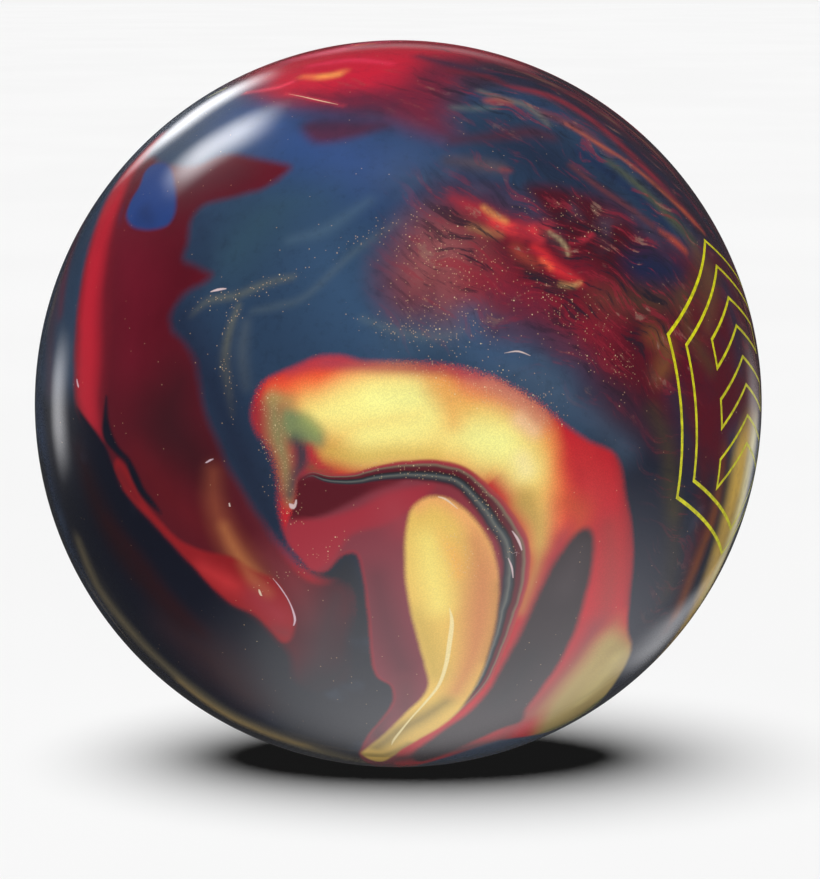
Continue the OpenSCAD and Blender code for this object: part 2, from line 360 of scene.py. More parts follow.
# The red pearl patch right of the centre, down to the emblem.
MOTTLED_PATCH = [
    (MAROON, 9, [(-2, 34), (3, 46), (9, 55.5), (16, 59), (24, 57), (31, 53), (38, 50.5), (46, 50), (58, 54),
        (68, 46), (80, 42), (90, 46), (99, 30), (105, 0), (94, -6), (84, -16), (74, -10), (66, -5), (56, 2),
        (50, 12), (40, 20), (28, 25.5), (12, 27), (2, 26)]),
    ("47141f", 3, [(35.5, 59.5), (42, 60), (50, 58), (57, 54.5), (63, 49), (66, 42), (60, 36), (50, 42),
        (42, 50), (38.5, 54.5)], 0.95),
    ("98585a", 14, [(6, 36, 5), (12, 44, 6), (16, 34, 7)], 0.9),
    ("842030", 8, [(22, 34, 5), (36, 28, 5), (48, 22, 5), (56, 20, 3)], 0.9),
    ("7c1c2c", 6, [(46, 38, 3), (52, 36, 4), (58, 28, 4)], 0.8),
    ("401822", 8, [(56, 42, 5), (66, 34, 5), (68, 24, 3)], 0.8),
    ("1c2644", 5, [(62, 40), (68, 43), (75, 40), (79, 36), (76, 32.5), (70, 32), (65, 34)], 0.95),
    ("4a4030", 7, [(56, 29, 2), (68, 28, 2.5), (78, 29, 2), (86, 36, 3)], 0.7),
    ("8a5a30", 5, [(70, 19, 1.5), (74.5, 15, 3), (72, 8, 1.5)], 0.8),
    ("6a4a34", 5, [(82, 42, 2), (86, 33, 3), (85, 22, 2)], 0.7),
    ("273048", 5, [(90, 32, 3), (93, 20, 3), (94, 10, 1.5)], 0.8),
    ("5c1424", 5, [(80, 22, 4), (80, 8, 5), (86, -6, 4), (88, -16, 2)], 0.9),
    ("262a3c", 7, [(52, 3, 2), (60, 2, 3), (68, -4, 3), (78, -10, 2)], 0.6),
    ("2a2c40", 5, [(76, 2, 3), (79, -10, 3), (80, -22, 2)], 0.85),
    ("4c452c", 4, [(70, -2, 1.5), (74, -12, 2), (76, -30, 2)], 0.6),
    ("5c4a2c", 4, [(78, 30, 1), (80, 20, 2), (86, 10, 1.2)], 0.6),
    # blue shows again under the patch
    ("3c5472", 6, [(20, 23.5, 3), (24, 16, 6), (34, 15, 4)], 0.9),
    ("4c3448", 5, [(26, 20, 2), (36, 19.5, 3), (46, 16.5, 2)], 0.8),
    # sparks and flames
    ("b83038", 3, [(15, 56.5, 1), (22, 53.5, 1.4), (29, 49, 2), (35, 47.5, 2), (41, 48.5, 1)], 0.95),
    ("e04040", 2, [(26.5, 50, 1.2), (31, 48.5, 1.2)], 0.9),
    ("d83840", 1.8, [(37.5, 47.5, 1.4), (39, 45.5, 1.2)], 0.7),
    ("e0a058", 1.6, [(23.5, 54, 0.3), (26.2, 52, 0.4), (29.5, 50.2, 0.3)], 0.9),
    ("a87850", 2, [(20, 48.7, 0.6), (24, 47.5, 0.8), (28, 46.5, 0.3)], 0.8),
    ("a84838", 3, [(32.5, 42.5, 1), (34.5, 40.5, 1), (37.5, 38.5, 0.5)], 0.85),
    ("d43036", 2.2, [(37.5, 43, 0.8), (40, 41, 1.4), (43, 37.5, 1.4), (46.5, 35.5, 1), (50, 33.5, 0.5)],
        0.95),
    ("ff7048", 1.4, [(39.5, 39.5, 0.3), (42, 37.5, 0.4)], 0.9),
    ("2c2428", 2, [(33, 38.5, 0.6), (38, 35, 1.2), (43, 32, 1.2), (47.5, 31.5, 0.4)], 0.85),
    ("3a3034", 2, [(39, 47.5, 0.6), (43, 45, 1.2), (45.5, 41.5, 0.8)], 0.8),
    ("b4a078", 1, [(41.5, 47.2, 0.2), (44.5, 45.2, 0.3), (46.3, 42.5, 0.4), (46.7, 41, 0.2)], 0.9),
    ("c8a068", 1, [(44.5, 33, 0.3), (47.5, 32.5, 0.4), (50, 33.3, 0.3)], 0.9),
    ("b83040", 1.2, [(47.5, 44.5, 0.2), (51, 45.2, 0.5), (53.5, 46.8, 0.3)], 0.9),
]
# The red cap, the streaks that run along the upper right outline, and a painted rim light: the top outline
# painted brighter pink and red.
CAP_RIM_AND_PAINTED_RIM_LIGHT = [
    ("6c2438", 6, [(-43, 86.5), (-36, 83.5), (-26, 81.5), (-15, 80), (-3, 78.5), (6, 75.5), (14, 74),
        (13, 79), (15, 84), (20, 90), (30, 94), (36, 100), (0, 130), (-50, 100)]),
    ("382634", 6, [(15, 84), (24, 87), (36, 86.5), (52, 77), (66, 64), (78, 50), (90, 40), (105, 45),
        (90, 90), (40, 110), (26, 95)]),
    ("c42038", 6, [(-36, 86.5), (-20, 84.5), (-4, 86), (4, 92), (10, 95.5), (22, 95.5), (36, 92.5), (30, 115),
        (-10, 130), (-40, 100)]),
    # painted rim light: brighter pink and red along the top outline, standing for light that grazes the ball
    # there
    ("ff5878", 3, [(-30, 94.5, 1), (-16, 97.5, 2), (0, 100, 5), (18, 99, 4)]),
    ("ff2c4c", 2.5, [(4, 100, 5), (26, 97.2, 4.4), (40, 92, 3.6), (53, 85, 2.8), (66, 75, 1.6)]),
    ("e83858", 2, [(-24, 93, 0.6), (-12, 94.5, 1), (-2, 93.5, 0.4)], 0.9),
    ("7c2034", 5, [(-28, 84.5, 1), (-12, 83.5, 2), (2, 85, 2)], 0.8),
    ("f0784c", 2, [(-26.5, 90, 0.6), (-20, 90, 1.4), (-15, 91.5, 0.8)]),
    ("ffb058", 2, [(-21.5, 90, 0.6), (-16.5, 90.5, 0.6)], 0.8),
    ("ff5068", 1.2, [(-42, 85.5, 0.2), (-34, 86.8, 0.5), (-29, 88.5, 0.3)], 0.9),
    ("e84050", 1, [(-31, 85.3, 0.2), (-22, 83.5, 0.4), (-15, 82, 0.4)], 0.9),
    ("f0a058", 1.2, [(-12, 98.5, 0.4), (-7, 99, 0.4)], 0.9),
    ("f4f0a0", 1, [(-52, 84.5, 0.1), (-47.5, 86.8, 0.3)], 0.9),
    # navy and wine bands along the rim
    ("232a40", 3, [(6, 95.5, 0.8), (10, 94.5, 1), (16, 93, 1.2), (26, 91, 1.8), (38, 87.5, 1.8),
        (50, 81, 1.4), (62, 72.5, 1.2), (74, 61.5, 1.2), (84, 51, 1.2), (92, 38, 1.2)], 0.95),
    ("6c2430", 2, [(14, 91.5, 0.6), (24, 90, 1), (30, 87.5, 0.6)], 0.8),
    ("2c3c5c", 3, [(20, 84.5, 1.2), (31, 84.5, 1.4), (40, 82, 1), (46, 79, 0.5)], 0.9),
    ("8c2c38", 2, [(32, 87, 0.6), (42, 84.5, 1.2), (52, 79, 1.2), (62, 70.5, 1), (72, 60.5, 1),
        (82, 49, 0.8)], 0.9),
    ("7c3c40", 2.5, [(40, 80, 1), (50, 75.5, 1.4), (58, 69, 1)], 0.8),
    ("c0603c", 1.2, [(46, 77, 0.2), (55, 71.5, 0.4), (63, 66.5, 0.3), (72, 59, 0.5), (79, 52.5, 0.6),
        (84, 47, 0.3)], 0.85),
    ("565838", 2.5, [(58, 66.5, 0.6), (66, 60, 1.2), (74, 52, 1.6), (81, 45, 1.2)], 0.85),
    ("1e2c4a", 2.5, [(50, 69, 1.2), (60, 62, 1.4), (68, 55, 1.2), (74, 48.5, 1)], 0.9),
    ("6c3434", 1.6, [(47.5, 65.5, 0.5), (54, 60.5, 0.7), (62, 55, 0.6), (70, 49, 0.8)], 0.9),
    ("b84c34", 1.4, [(72, 47.5, 0.5), (76, 44.8, 0.9), (79, 42, 0.6)], 0.95),
    ("8c2c3c", 1.4, [(86, 50, 0.4), (91, 41, 0.5), (95, 30, 0.6), (98.5, 17, 0.4)], 0.8),
    # small leaves and smears in the blue
    ("50263c", 2.5, [(-26.2, 76.5), (-22, 78), (-12, 77.8), (-3, 76.8), (-9, 74.2), (-16, 72.4), (-22, 71.8),
        (-25, 73.5)], 0.95),
    ("4c2834", 3, [(15, 72.5, 0.6), (26, 73.5, 1.2), (36, 74.8, 1.8), (42, 73.5, 1.2)], 0.85),
    ("6c5450", 3.5, [(14, 66.8, 0.8), (20, 66.2, 1.4), (28, 65, 0.8)], 0.7),
    ("8c3c3c", 1.5, [(28.5, 64.5, 0.4), (30.5, 64.2, 0.4)], 0.8),
    ("7c7468", 2, [(22.5, 86, 0.4), (28, 84, 1), (34, 82.5, 0.8), (38, 80, 0.8), (41, 77, 0.4)], 0.75),
    ("b05444", 2, [(24.5, 83.3, 0.6), (28, 83.5, 1), (30.5, 83, 0.4)], 0.8),
    ("65706c", 2, [(15, 81.5, 0.4), (21, 81.2, 0.6), (27, 81.5, 0.3)], 0.6),
    ("3c2c40", 3, [(24, 60, 0.6), (30, 59, 1), (36, 56.5, 0.4)], 0.7),
]
# Inside the wine field: darker in its middle, grey-red at its lower end, an orange streak down its tail.
WINE_COLOURS = [
    ("5c1422", 2, WINE_FIELD, 1, BLEED),
    ("481824", 12, [(-45, 63, 4), (-58, 60, 5)], 0.8),
    ("6c1628", 10, [(-76, 45, 6), (-72, 30, 8), (-74, 12, 5)], 0.9),
    ("3c1820", 12, [(-60, 6, 4), (-63, -5, 9), (-56, -14, 6)], 0.9),
    ("6c1420", 8, [(-72, -14, 2), (-64, -24, 5), (-55, -32, 5), (-46, -38, 3)], 0.9),
    ("6c2430", 6, [(-43, -20, 2), (-37, -33, 3), (-30, -44, 4)], 0.8),
    ("7c3038", 6, [(-36, -42, 3), (-28, -50, 5), (-24, -58, 4)], 0.9),
    ("44343a", 10, [(-17, -53, 4), (-20, -62, 6), (-22, -75, 6)], 0.95),
    ("2b2d34", 8, [(-13, -64, 2), (-16, -74, 5), (-25, -78, 5)]),
    ("984c34", 5, [(-51, -19, 0.8), (-50.7, -27, 1.8), (-47.5, -36, 2.8), (-43, -43, 3.4), (-39, -49, 3.4),
        (-36, -53, 2.2)], 0.95),
    ("c87c48", 3.5, [(-48, -34, 0.4), (-45, -40, 1), (-41, -46, 1.4), (-37.5, -50, 1.4)], 0.9),
]
# Inside the hook: a yellow spine that turns orange and red toward its edges, and the pale gold foot.
HOOK_COLOURS = [
    (RED, 2, HOOK, 1, BLEED),
    ("8c3038", 5, [(-39, -2, 2), (-37, -12, 2), (-33, -24, 2)], 0.9),
    (ORANGE, 4.5, [(-34, 4.5, 1.5), (-24, 4.5, 5), (-10, 3, 7), (5, 0, 9), (20, -3, 10), (32, -7, 9),
        (41, -16, 5), (45, -26, 3), (44.5, -34, 1.2)]),
    ("b05058", 3, [(-20, 11.5, 0.8), (-5, 10.5, 1), (10, 10, 1), (22, 8, 1.4), (33, 2, 2), (40, -3, 1.5)],
        0.8),
    ("f4c468", 6, [(-24, -2, 5), (-12, -4, 10), (0, -4, 10.5), (12, -7, 10.5), (24, -9, 10.5), (33, -12, 9),
        (37, -20, 6), (39, -30, 3), (38.8, -38, 1.2)]),
    ("fcf090", 7, [(-22, -3, 3), (-12, -1, 7), (0, 1.5, 7), (8, 0, 5), (6, -6, 6), (-8, -9, 6)]),
    ("fcf090", 6, [(17, -9, 4), (24, -10, 7), (30, -12, 6), (34.5, -18, 4.5)]),
    ("fffc9c", 5, [(-6, 1, 3), (3, 1.5, 3)], 0.95),
    ("f0a858", 5, [(12, 5, 3), (14.5, 0, 2.4), (15, -5, 1)], 0.85),
    ("fffc9c", 5, [(22, -9, 2), (28, -11, 3)], 0.95),
    ("ffe8b0", 3.5, [(34, -15.5, 2), (35, -18, 2)], 0.6),
    ("c88470", 5, [(20, 6.5, 2), (30, 2.5, 3), (38, -4.5, 2.8)], 0.75),
    ("fcd0a8", 3, [(33.5, -4.5, 1.8), (37, -7.5, 1.4)], 0.7),
    ("d8b858", 4, [(-19, -13, 3), (-12, -14.5, 2.5), (0, -13.5, 1.5), (10, -14, 1.2)], 0.8),
    ("a83c4c", 2.2, [(-30, 9, 1), (-20, 11.5, 1.4), (-5, 10.3, 1.4), (10, 9.6, 1.2), (22, 7.8, 1)], 0.8),
    ("7c2830", 3, [(60.5, -15, 0.6), (62.5, -25, 1), (63.5, -40, 1), (63, -55, 0.6)], 0.8),
    ("c0a050", 3.5, [(35, -27, 3.5), (38.5, -34, 1.8), (38.5, -42, 1.2), (36.5, -50, 0.8), (34, -57, 0.4)],
        0.9),
    # sage and olive at the left end, with the dark spot and the red curl
    ("8c8458", 3, [(-34.5, 0, 2), (-33.5, -8, 2.6), (-31.5, -15, 2), (-30.5, -22, 1.4), (-29.8, -27, 0.6)]),
    ("a8985c", 3, [(-34.5, 2, 1.4), (-30, 1, 1.2)], 0.9),
    ("7c885c", 2.2, [(-31.5, -1), (-27, -2), (-23, -5), (-20.5, -8.5), (-21.2, -11.5), (-25, -11), (-30, -10),
        (-32.5, -6)]),
    ("a0ac64", 3, [(-25.5, -4.5, 1), (-22.5, -7.5, 1.2)], 0.8),
    ("2c3c48", 2.5, [(-28.5, -10, 1.2), (-26.5, -13, 2.4), (-26.8, -16.5, 2), (-28.5, -20, 1.2),
        (-29.7, -25, 0.8)], 0.95),
    ("506040", 2, [(-23.5, -17.5, 1), (-19, -19, 0.8)], 0.8),
    ("b83038", 1.2, [(-24.5, -11.8, 0.6), (-23.6, -14.5, 1.1), (-21.5, -17, 1), (-18.5, -18.5, 0.4)]),
    # down the right side
    ("c83034", 6, [(50, -16, 5), (54, -24, 5)], 0.9),
    ("c8502c", 5, [(46, -27, 2), (50, -30, 3), (49, -36, 1)], 0.8),
    ("a83434", 5, [(58, -34, 3), (58.5, -46, 4), (57, -58, 3)], 0.9),
    ("983c40", 4, [(45.5, -36, 1.2), (41, -45, 1.4), (37.5, -53, 1.2), (33.5, -62, 1), (29, -72, 0.6)], 0.8),
    ("8c3c40", 5, [(54, -62, 3), (48, -72, 3), (40, -81, 2), (30, -90, 1.2)], 0.9),
    ("a86848", 5, [(60, -60, 1), (54, -68, 3), (46, -77, 3), (38, -85, 2)], 0.8),
    ("b8a060", 4, [(64.5, -65.5), (60, -62.5), (55.5, -65), (51, -71), (45, -78), (40, -85), (38, -92),
        (50, -90), (62, -80), (67, -72)]),
    ("d0bc78", 5, [(60, -70, 2), (55, -77, 3), (50, -82, 1.5)], 0.9),
    ("50703c", 1.6, [(60.5, -77.5, 0.4), (55, -82, 0.8), (48, -87, 0.8), (38, -91, 0.5)], 0.85),
    ("3c3c40", 4, [(-6, -98.5, 2), (2, -97.5, 3), (14, -95.5, 3), (28, -92.5, 2)], 0.9),
]
# Between the hook and the teardrop: wine at the upper left, rose in the middle, grey-rose below.
ROSE_COLOURS = [
    ("843844", 2, ROSE_FIELD, 1, BLEED),
    ("5c1824", 1.2, [(-28.5, -21), (-20, -19.5), (-8, -18), (2, -18), (0, -21.5), (-8, -24.5), (-16, -28.5),
        (-22, -31), (-30, -32)]),
    ("a4303e", 1.2, [(-30, -32.5), (-21, -31.5), (-11, -28.5), (-4, -25), (3, -23), (10, -22.5), (6, -27),
        (-3, -33), (-13, -36), (-18, -43), (-24, -46), (-30, -40)]),
    ("843844", 9, [(-5, -42, 6), (0, -36, 2)], 0.8),
    ("a83c48", 7, [(-2, -28, 3), (1, -33, 2)], 0.8),
    ("8c2c38", 5, [(10, -23.5, 1.2), (18, -27, 2), (23, -34, 2), (27, -42, 1.2)], 0.9),
    ("62303a", 6, [(-6, -48, 3), (-3, -62, 5), (1, -72, 4)], 0.9),
    ("64343a", 6, [(2, -78, 3), (2, -84, 2)], 0.9),
    ("5c3034", 5, [(29, -50, 2), (28, -62, 2), (24, -74, 2), (16, -84, 1.5)], 0.95),
    ("3c2c30", 4, [(-2, -94, 2), (-6, -90, 2), (-4, -86, 1)], 0.7),
]
# The dark wedge in the hook's right leg.
WEDGE_COLOURS = [
    ("352c30", 2, WEDGE, 1, BLEED),
    ("463c40", 6, [(50, -40, 2), (46, -50, 3)], 0.8),
    ("2a2a2e", 6, [(36, -70, 3), (28, -82, 3)], 0.8),
]
# The bright streak at the left, the blue eye above it and the red tongue below.
SIDE_COLOURS = [
    ("bc2032", 1.2, RED_STREAK, 1, BLEED),
    ("a0485c", 3, [(-68, 73, 0.8), (-76, 65, 1.2), (-82.5, 54, 1.2)], 0.7),
    ("6a1626", 4.5, [(-69, 64.5, 1.2), (-73.5, 58, 2), (-76.8, 50, 2.6), (-79, 39, 3), (-80.2, 27, 3.4),
        (-80, 15, 3.6), (-81, 3, 2.8), (-81, -6, 1.6)], 0.95),
    ("26407a", 1.5, BLUE_BLOB, 1, BLEED),
    ("20305c", 3, [(-70, 53, 2), (-68, 50, 1)], 0.7),
    ("981820", 2, TONGUE, 1, BLEED),
    ("6c1620", 3, [(-77, -19, 2), (-72, -26, 0.8)], 0.8),
    ("b86440", 3, [(-43, -44, 0.6), (-39.5, -49, 1.6), (-36.5, -52, 1.2)], 0.95),
    ("c83034", 4.5, [(-54, -45, 0.8), (-48, -48.5, 2.2), (-45, -50, 1.6)], 0.95),
    ("a02c38", 4, [(-39, -53, 3), (-33, -58, 3)], 0.8),
    ("803038", 3, [(-31, -63, 1.5), (-34, -62, 1)], 0.8),
]
# The teardrop: gold, orange at its top and right side, olive in its tail.
TEARDROP_COLOURS = [
    ("e8c060", 2, TEARDROP, 1, BLEED),
    ("f0a468", 3.5, [(5.5, -28, 1.2), (9, -26.2, 1.2), (14, -27.5, 1.6), (19, -32, 1.8), (23.5, -39, 1.6),
        (26.2, -47, 1.2)], 0.95),
    ("cc8450", 6, [(21, -38, 2), (23, -47, 5), (22.5, -58, 5.5), (20.5, -69, 4), (16, -79, 2)]),
    ("f0a850", 3, [(11, -36, 0.8), (15, -42, 1.6), (16.5, -47, 0.6)], 0.8),
    ("a86c40", 3, [(27.8, -50, 0.8), (27.5, -60, 1), (24.5, -70, 0.8)], 0.8),
    ("c8a850", 5, [(5, -58, 2), (8, -66, 3), (10, -74, 3)], 0.9),
    ("f4e078", 5, [(8, -38, 3), (9, -46, 3.5), (11, -55, 3)], 0.9),
    ("8c783c", 3.5, [(13, -82, 1.4), (7, -86, 1.8), (0, -90, 1.8), (-6, -94.5, 1.6)]),
    ("7c6c38", 2, [(-9, -96.5, 1), (-3, -96.5, 1.2), (3, -93.5, 0.5)], 0.8),
]
# The dark forks between the left streak and the tongue.
NIGHT_COLOURS = [
    (NIGHT, 1, FORK, 1, BLEED),
    (NIGHT, 1, SECOND_FORK, 1, BLEED),
]

# A row of the next tables is (softness, points, amount).
# Where gold dust floats.
GLITTER = [
    (3, [(-56, 26, 1), (-50, 29, 1.5), (-42, 30, 1.2), (-35, 33.5, 1.2), (-28, 35.5, 0.6), (-20, 40, 0.6),
        (-12, 45, 0.6), (-3, 50, 0.6)], 0.7),
    (2.5, [(-45.5, 27, 0.8), (-47, 20, 1), (-47.8, 12, 1.2), (-46.8, 4, 1), (-46, -3, 0.5)], 0.75),
    (4, [(-12, 23.5, 0.6), (-2, 20, 2), (10, 18, 2), (18, 19, 1)], 0.7),
    (10, [(4, 45, 6), (14, 42, 8), (24, 36, 5)], 0.5),
    (10, [(6, 26, 6), (20, 21, 6)], 0.6),
    (8, [(37, 54, 3), (46, 52, 5), (55, 48, 3)], 0.5),
    (10, [(35, 32, 5), (50, 22, 6), (60, 10, 4)], 0.4),
    (4, [(-36, 2, 3), (-34, -8, 4), (-32, -18, 3), (-30, -30, 2)], 0.95),
    (5, [(0, 9, 2), (14, 7, 4), (28, 3, 5), (40, -3, 5)], 0.7),
    (3, [(-10, -18.5, 0.6), (6, -18.5, 1.2), (18, -21, 1.2), (26, -30, 1), (31, -42, 0.6)], 0.8),
    (4, [(13, -37, 2), (17, -45, 3)], 0.95),
    (3, [(-20, -39, 1), (-13, -37, 1), (-39, -50, 1.2)], 0.4),
]
# Where the base is streaky.
STIRRED = [
    (14, [(2, 30), (5, 50), (12, 60), (30, 58), (50, 62), (70, 50), (80, 30), (82, 5), (70, 0), (52, 8),
        (35, 22), (15, 26)], 0.95),
    (16, [(6, 88, 5), (30, 83, 8), (55, 70, 10), (78, 48, 8)], 0.9),
    (14, [(15, 97, 6), (40, 89, 8), (65, 73, 8), (85, 48, 8), (96, 20, 5)], 0.95),
    (16, [(20, 68, 4), (40, 66, 6), (60, 54, 6)], 0.45),
    (12, [(-35, 88, 4), (-10, 86, 5), (10, 88, 5)], 0.35),
    (12, [(72, -10, 5), (78, -32, 5), (74, -54, 4)], 0.5),
    (12, [(2, 22, 4), (16, 22, 5)], 0.35),
]
# Where the gold pearl powder is dense.
PEARL = [
    (5, HOOK[OUTER_EDGE] + [(50, -75), (52, -34), (40, -45), (36, -36), (27, -25), (12, -16), (-7, -18),
        (-27, -20)]),
    (3, TEARDROP, 0.8),
    (6, [(97, 0, 4), (90, -36, 5), (75, -66, 4)], 0.7),
    (6, [(10, 42, 10), (30, 35, 10), (55, 25, 10)], 0.5),
]

# Painted glints, fine bright lines that stand for highlights on the polish: how white each line is, and its
# points with a half width.
PAINTED_GLINTS = [
    (1.0, [(-34.7, -47.8, 0.05), (-32.5, -50.5, 0.2), (-30, -54.5, 0.2), (-28.5, -59, 0.35),
        (-29.1, -61.5, 0.1)]),
    (1.0, [(-53.5, -16.5, 0.1), (-52, -15.5, 0.3), (-50.7, -15, 0.1)]),
    (0.8, [(-46.8, -26.5, 0.1), (-46.4, -28, 0.3), (-46.6, -29, 0.1)]),
    (1.0, [(-88.5, 7.5, 0.1), (-88.2, 5.5, 0.4), (-87.6, 4, 0.1)]),
    (0.9, [(-30.2, -27, 0.1), (-29.3, -28.5, 0.6), (-28.3, -27.5, 0.4), (-28.1, -25.5, 0.1)]),
    (0.6, [(-38.5, -50.5, 0.1), (-38.1, -52, 0.4), (-37.4, -53.3, 0.1)]),
    (0.3, [(14, -56, 0.1), (14.7, -60, 0.6), (14, -66, 0.7), (13, -72, 0.6), (11, -77.5, 0.5),
        (7.5, -82, 0.4), (3, -87, 0.3), (-1, -92, 0.4), (-2, -94, 0.1)]),
    (0.9, [(31, -34.5, 0.1), (33, -37.5, 0.4), (34.2, -41, 0.1)]),
    (0.9, [(30, -42, 0.1), (31.2, -45, 0.3), (31.6, -48.5, 0.1)]),
    (0.8, [(29, 14, 0.05), (33, 14.5, 0.25), (37, 13, 0.05)]),
    (0.9, [(-52, 30.8, 0.1), (-49.5, 31.5, 0.4), (-47, 31.8, 0.1)]),
    (0.5, [(-30.5, 85.3, 0.05), (-22, 83.5, 0.2), (-16, 82.2, 0.05)]),
    (0.6, [(10, -25.3, 0.1), (13, -26.2, 0.3), (16.5, -29, 0.1)]),
]
# How wide the band of fine lines is at each point of the hook's inside.
BAND_WIDTHS = [1.2, 1.8, 2.6, 3.4, 4.4, 5.4, 6.2, 6.6, 6.8, 7.4, 8, 8.6, 8.8, 8.6, 8, 7, 5.8, 4.8, 3.8, 3,
               2.2, 1.2]

# ---------------------------------------------------------------- paint on the vertices

PAINTED_GLINT_REACH, BAND_REACH = 0.014, 0.12  # how far from a fine line, or from the band, the paint is worked out


class Coat:
    """Everything that is painted on a mesh, one row for each of its vertices."""

    def __init__(self, count):
        self.base, self.field = Layer(count, NAVY), Layer(count, MAROON)
        self.bloom, self.drop = Layer(count, ROSE), Layer(count, GOLD)
        # painted glint lines: signed distance, half width and how white each one is
        self.painted_glint = np.tile([0.0, -1.0, 0.0], (count, 1))
        self.rim = np.tile([-1.0, 0.0, 0.0], (count, 1))  # its third number is how streaky the base is
        self.dust, self.flow = np.zeros((2, count, 3))

    def swirl(self, xy):
        """The whole swirl in the flat coordinates xy."""
        self.base.paint(xy, GROUND + MOTTLED_PATCH + CAP_RIM_AND_PAINTED_RIM_LIGHT)
        self.field.paint(xy, WINE_COLOURS + HOOK_COLOURS)
        self.field.cut(xy, [(2.2, WINE_FIELD), (1.4, HOOK)])
        self.bloom.paint(xy, ROSE_COLOURS + WEDGE_COLOURS + SIDE_COLOURS)
        self.bloom.cut(xy, [(0.8, ROSE_FIELD), (1.6, WEDGE)])
        self.bloom.cut(xy, [(3.5, RED_STREAK), (1.2, BLUE_BLOB), (1.2, TONGUE)])
        self.drop.paint(xy, TEARDROP_COLOURS + NIGHT_COLOURS)
        self.drop.cut(xy, [(1, TEARDROP), (1, FORK), (1, SECOND_FORK)])
        # painted glints: fine lines of painted highlight on the polish
        for tone, points in PAINTED_GLINTS:
            self.draw_painted_glint(xy, tone, points)
        self.draw_rim(xy)
        for rows, table in ((self.dust[:, 0], GLITTER), (self.dust[:, 2], PEARL), (self.rim[:, 2], STIRRED)):
            for shape in table:
                near, cover = Shape(*shape).cover(xy)
                rows[near] = np.maximum(rows[near], cover)

    @staticmethod
    def near_line(xy, points, reach):
        """The places near a line: their rows, distance, side, half width and distance to the line's ends."""
        line = Shape(1, points).line
        rows = rows_near(xy, line, reach)
        gap, side, extra = along(xy[rows], line)
        ends = np.minimum(*(np.hypot(*(xy[rows] - line[k, :2]).T) for k in (0, -1)))
        return rows, gap, side, extra[:, 0], ends

    def draw_painted_glint(self, xy, tone, points, reach=PAINTED_GLINT_REACH):
        """Signed distance and half width near a painted glint line, which the shader draws finer than the
        mesh.
        """
        rows, gap, side, half, ends = self.near_line(xy, points, reach)
        near = (gap < reach) & (ends > gap + 1e-6)
        self.painted_glint[rows[near]] = np.stack([(gap * side)[near], half[near], np.full(near.sum(), tone)], 1)

    def draw_rim(self, xy):
        """How far each place is across the band of lines inside the hook, from 0 at the hook to 1."""
        points = np.hstack([np.array(HOOK_INSIDE), np.array(BAND_WIDTHS)[:, None]])
        rows, gap, side, width, ends = self.near_line(xy, points, BAND_REACH)
        across = -gap * side / width
        strength = smooth((2.5 - np.abs(across)) / 0.5) * smooth(ends / 0.05)
        self.rim[rows, :2] = np.stack([across, strength], 1)

    def clear(self, cover):
        """Takes the swirl away where cover is 1, so that another can be painted there."""
        self.base.rgb += cover[:, None] * (np.array(linear(NAVY)) - self.base.rgb)
        for layer in (self.field, self.bloom, self.drop):
            layer.mask = np.maximum(layer.mask - cover * 2 * Layer.FAR, -Layer.FAR)
        self.painted_glint[cover > 0, 1] = -1
        self.rim[:, 1:] *= 1 - cover[:, None]
        self.dust *= 1 - cover[:, None]

    def write(self, mesh):
        for name in ("base", "field", "bloom", "drop"):
            layer = getattr(self, name)
            rows = np.hstack([layer.rgb, layer.mask[:, None]]).astype(np.float32)
            mesh.attributes.new(name, "FLOAT_COLOR", "POINT").data.foreach_set("color", rows.ravel())
        for name in ("painted_glint", "rim", "dust", "flow"):
            rows = getattr(self, name).astype(np.float32)
            mesh.attributes.new(name, "FLOAT_VECTOR", "POINT").data.foreach_set("vector", rows.ravel())


FRONT = Chart((0, -math.cos(VIEW_EL), math.sin(VIEW_EL)), (0, 0, 1))
# The sides that the photograph doesn't show repeat the swirl, turned and at other sizes: chart, size.
OTHER_SIDES = [
    (Chart((-0.9, 0.35, 0.3), (0, 0, 1), 2.0, True), 0.8),
    (Chart((0.9, 0.3, -0.35), (0, 0, 1), -1.9), 0.75),
    (Chart((0.25, 0.55, 0.8), (0, 1, 0), 0.9, True), 0.6),
    (Chart((-0.1, 0.95, -0.2), (0, 0, 1), 2.6), 0.85),
]

STREAKS_FROM = 0.74  # how far out the streaks along the outline begin
CAP_HALF = 0.40  # half the width of the red cap, where the streaks are weak
FLOW_TURNS, FLOW_RINGS = 2, 22  # the streaks' coordinates run slowly around the outline and fast across it


def painted(n):
    """The coat of paint for a mesh whose vertices lie in the directions n."""
    coat = Coat(len(n))
    wave = np.sin(n @ [5, 3, 4]) + np.sin(n @ [-4, 6, 3]) + np.sin(n @ [9, -5, 11])
    for chart, size in OTHER_SIDES:
        xy = chart.flat(n) / size
        coat.clear(smooth((1.10 + 0.05 * wave - np.hypot(xy[:, 0], xy[:, 1])) / 0.2))
        coat.swirl(xy)
    xy = FRONT.flat(n)
    r = np.hypot(xy[:, 0], xy[:, 1])
    coat.clear(smooth((1.12 + 0.03 * wave - r) / 0.08))
    coat.swirl(xy)
    cap = smooth((CAP_HALF - np.abs(xy[:, 0] + 0.02)) / 0.2) * (xy[:, 1] > 0)
    coat.dust[:, 1] = smooth((r - STREAKS_FROM) / 0.2) * (1 - 0.7 * cap)
    turn = np.arctan2(xy[:, 1], xy[:, 0])
    coat.flow = np.stack([FLOW_TURNS * np.cos(turn), FLOW_TURNS * np.sin(turn), FLOW_RINGS * r], 1)
    return coat


# ---------------------------------------------------------------- meshes


def placed(name, data):
    made = bpy.data.objects.new(name, data)
    bpy.context.scene.collection.objects.link(made)
    return made


def mesh_object(name, vertices, faces):
    mesh = bpy.data.meshes.new(name)
    mesh.from_pydata([tuple(v) for v in vertices], [], [tuple(f) for f in faces])
    mesh.validate()
    return placed(name, mesh)


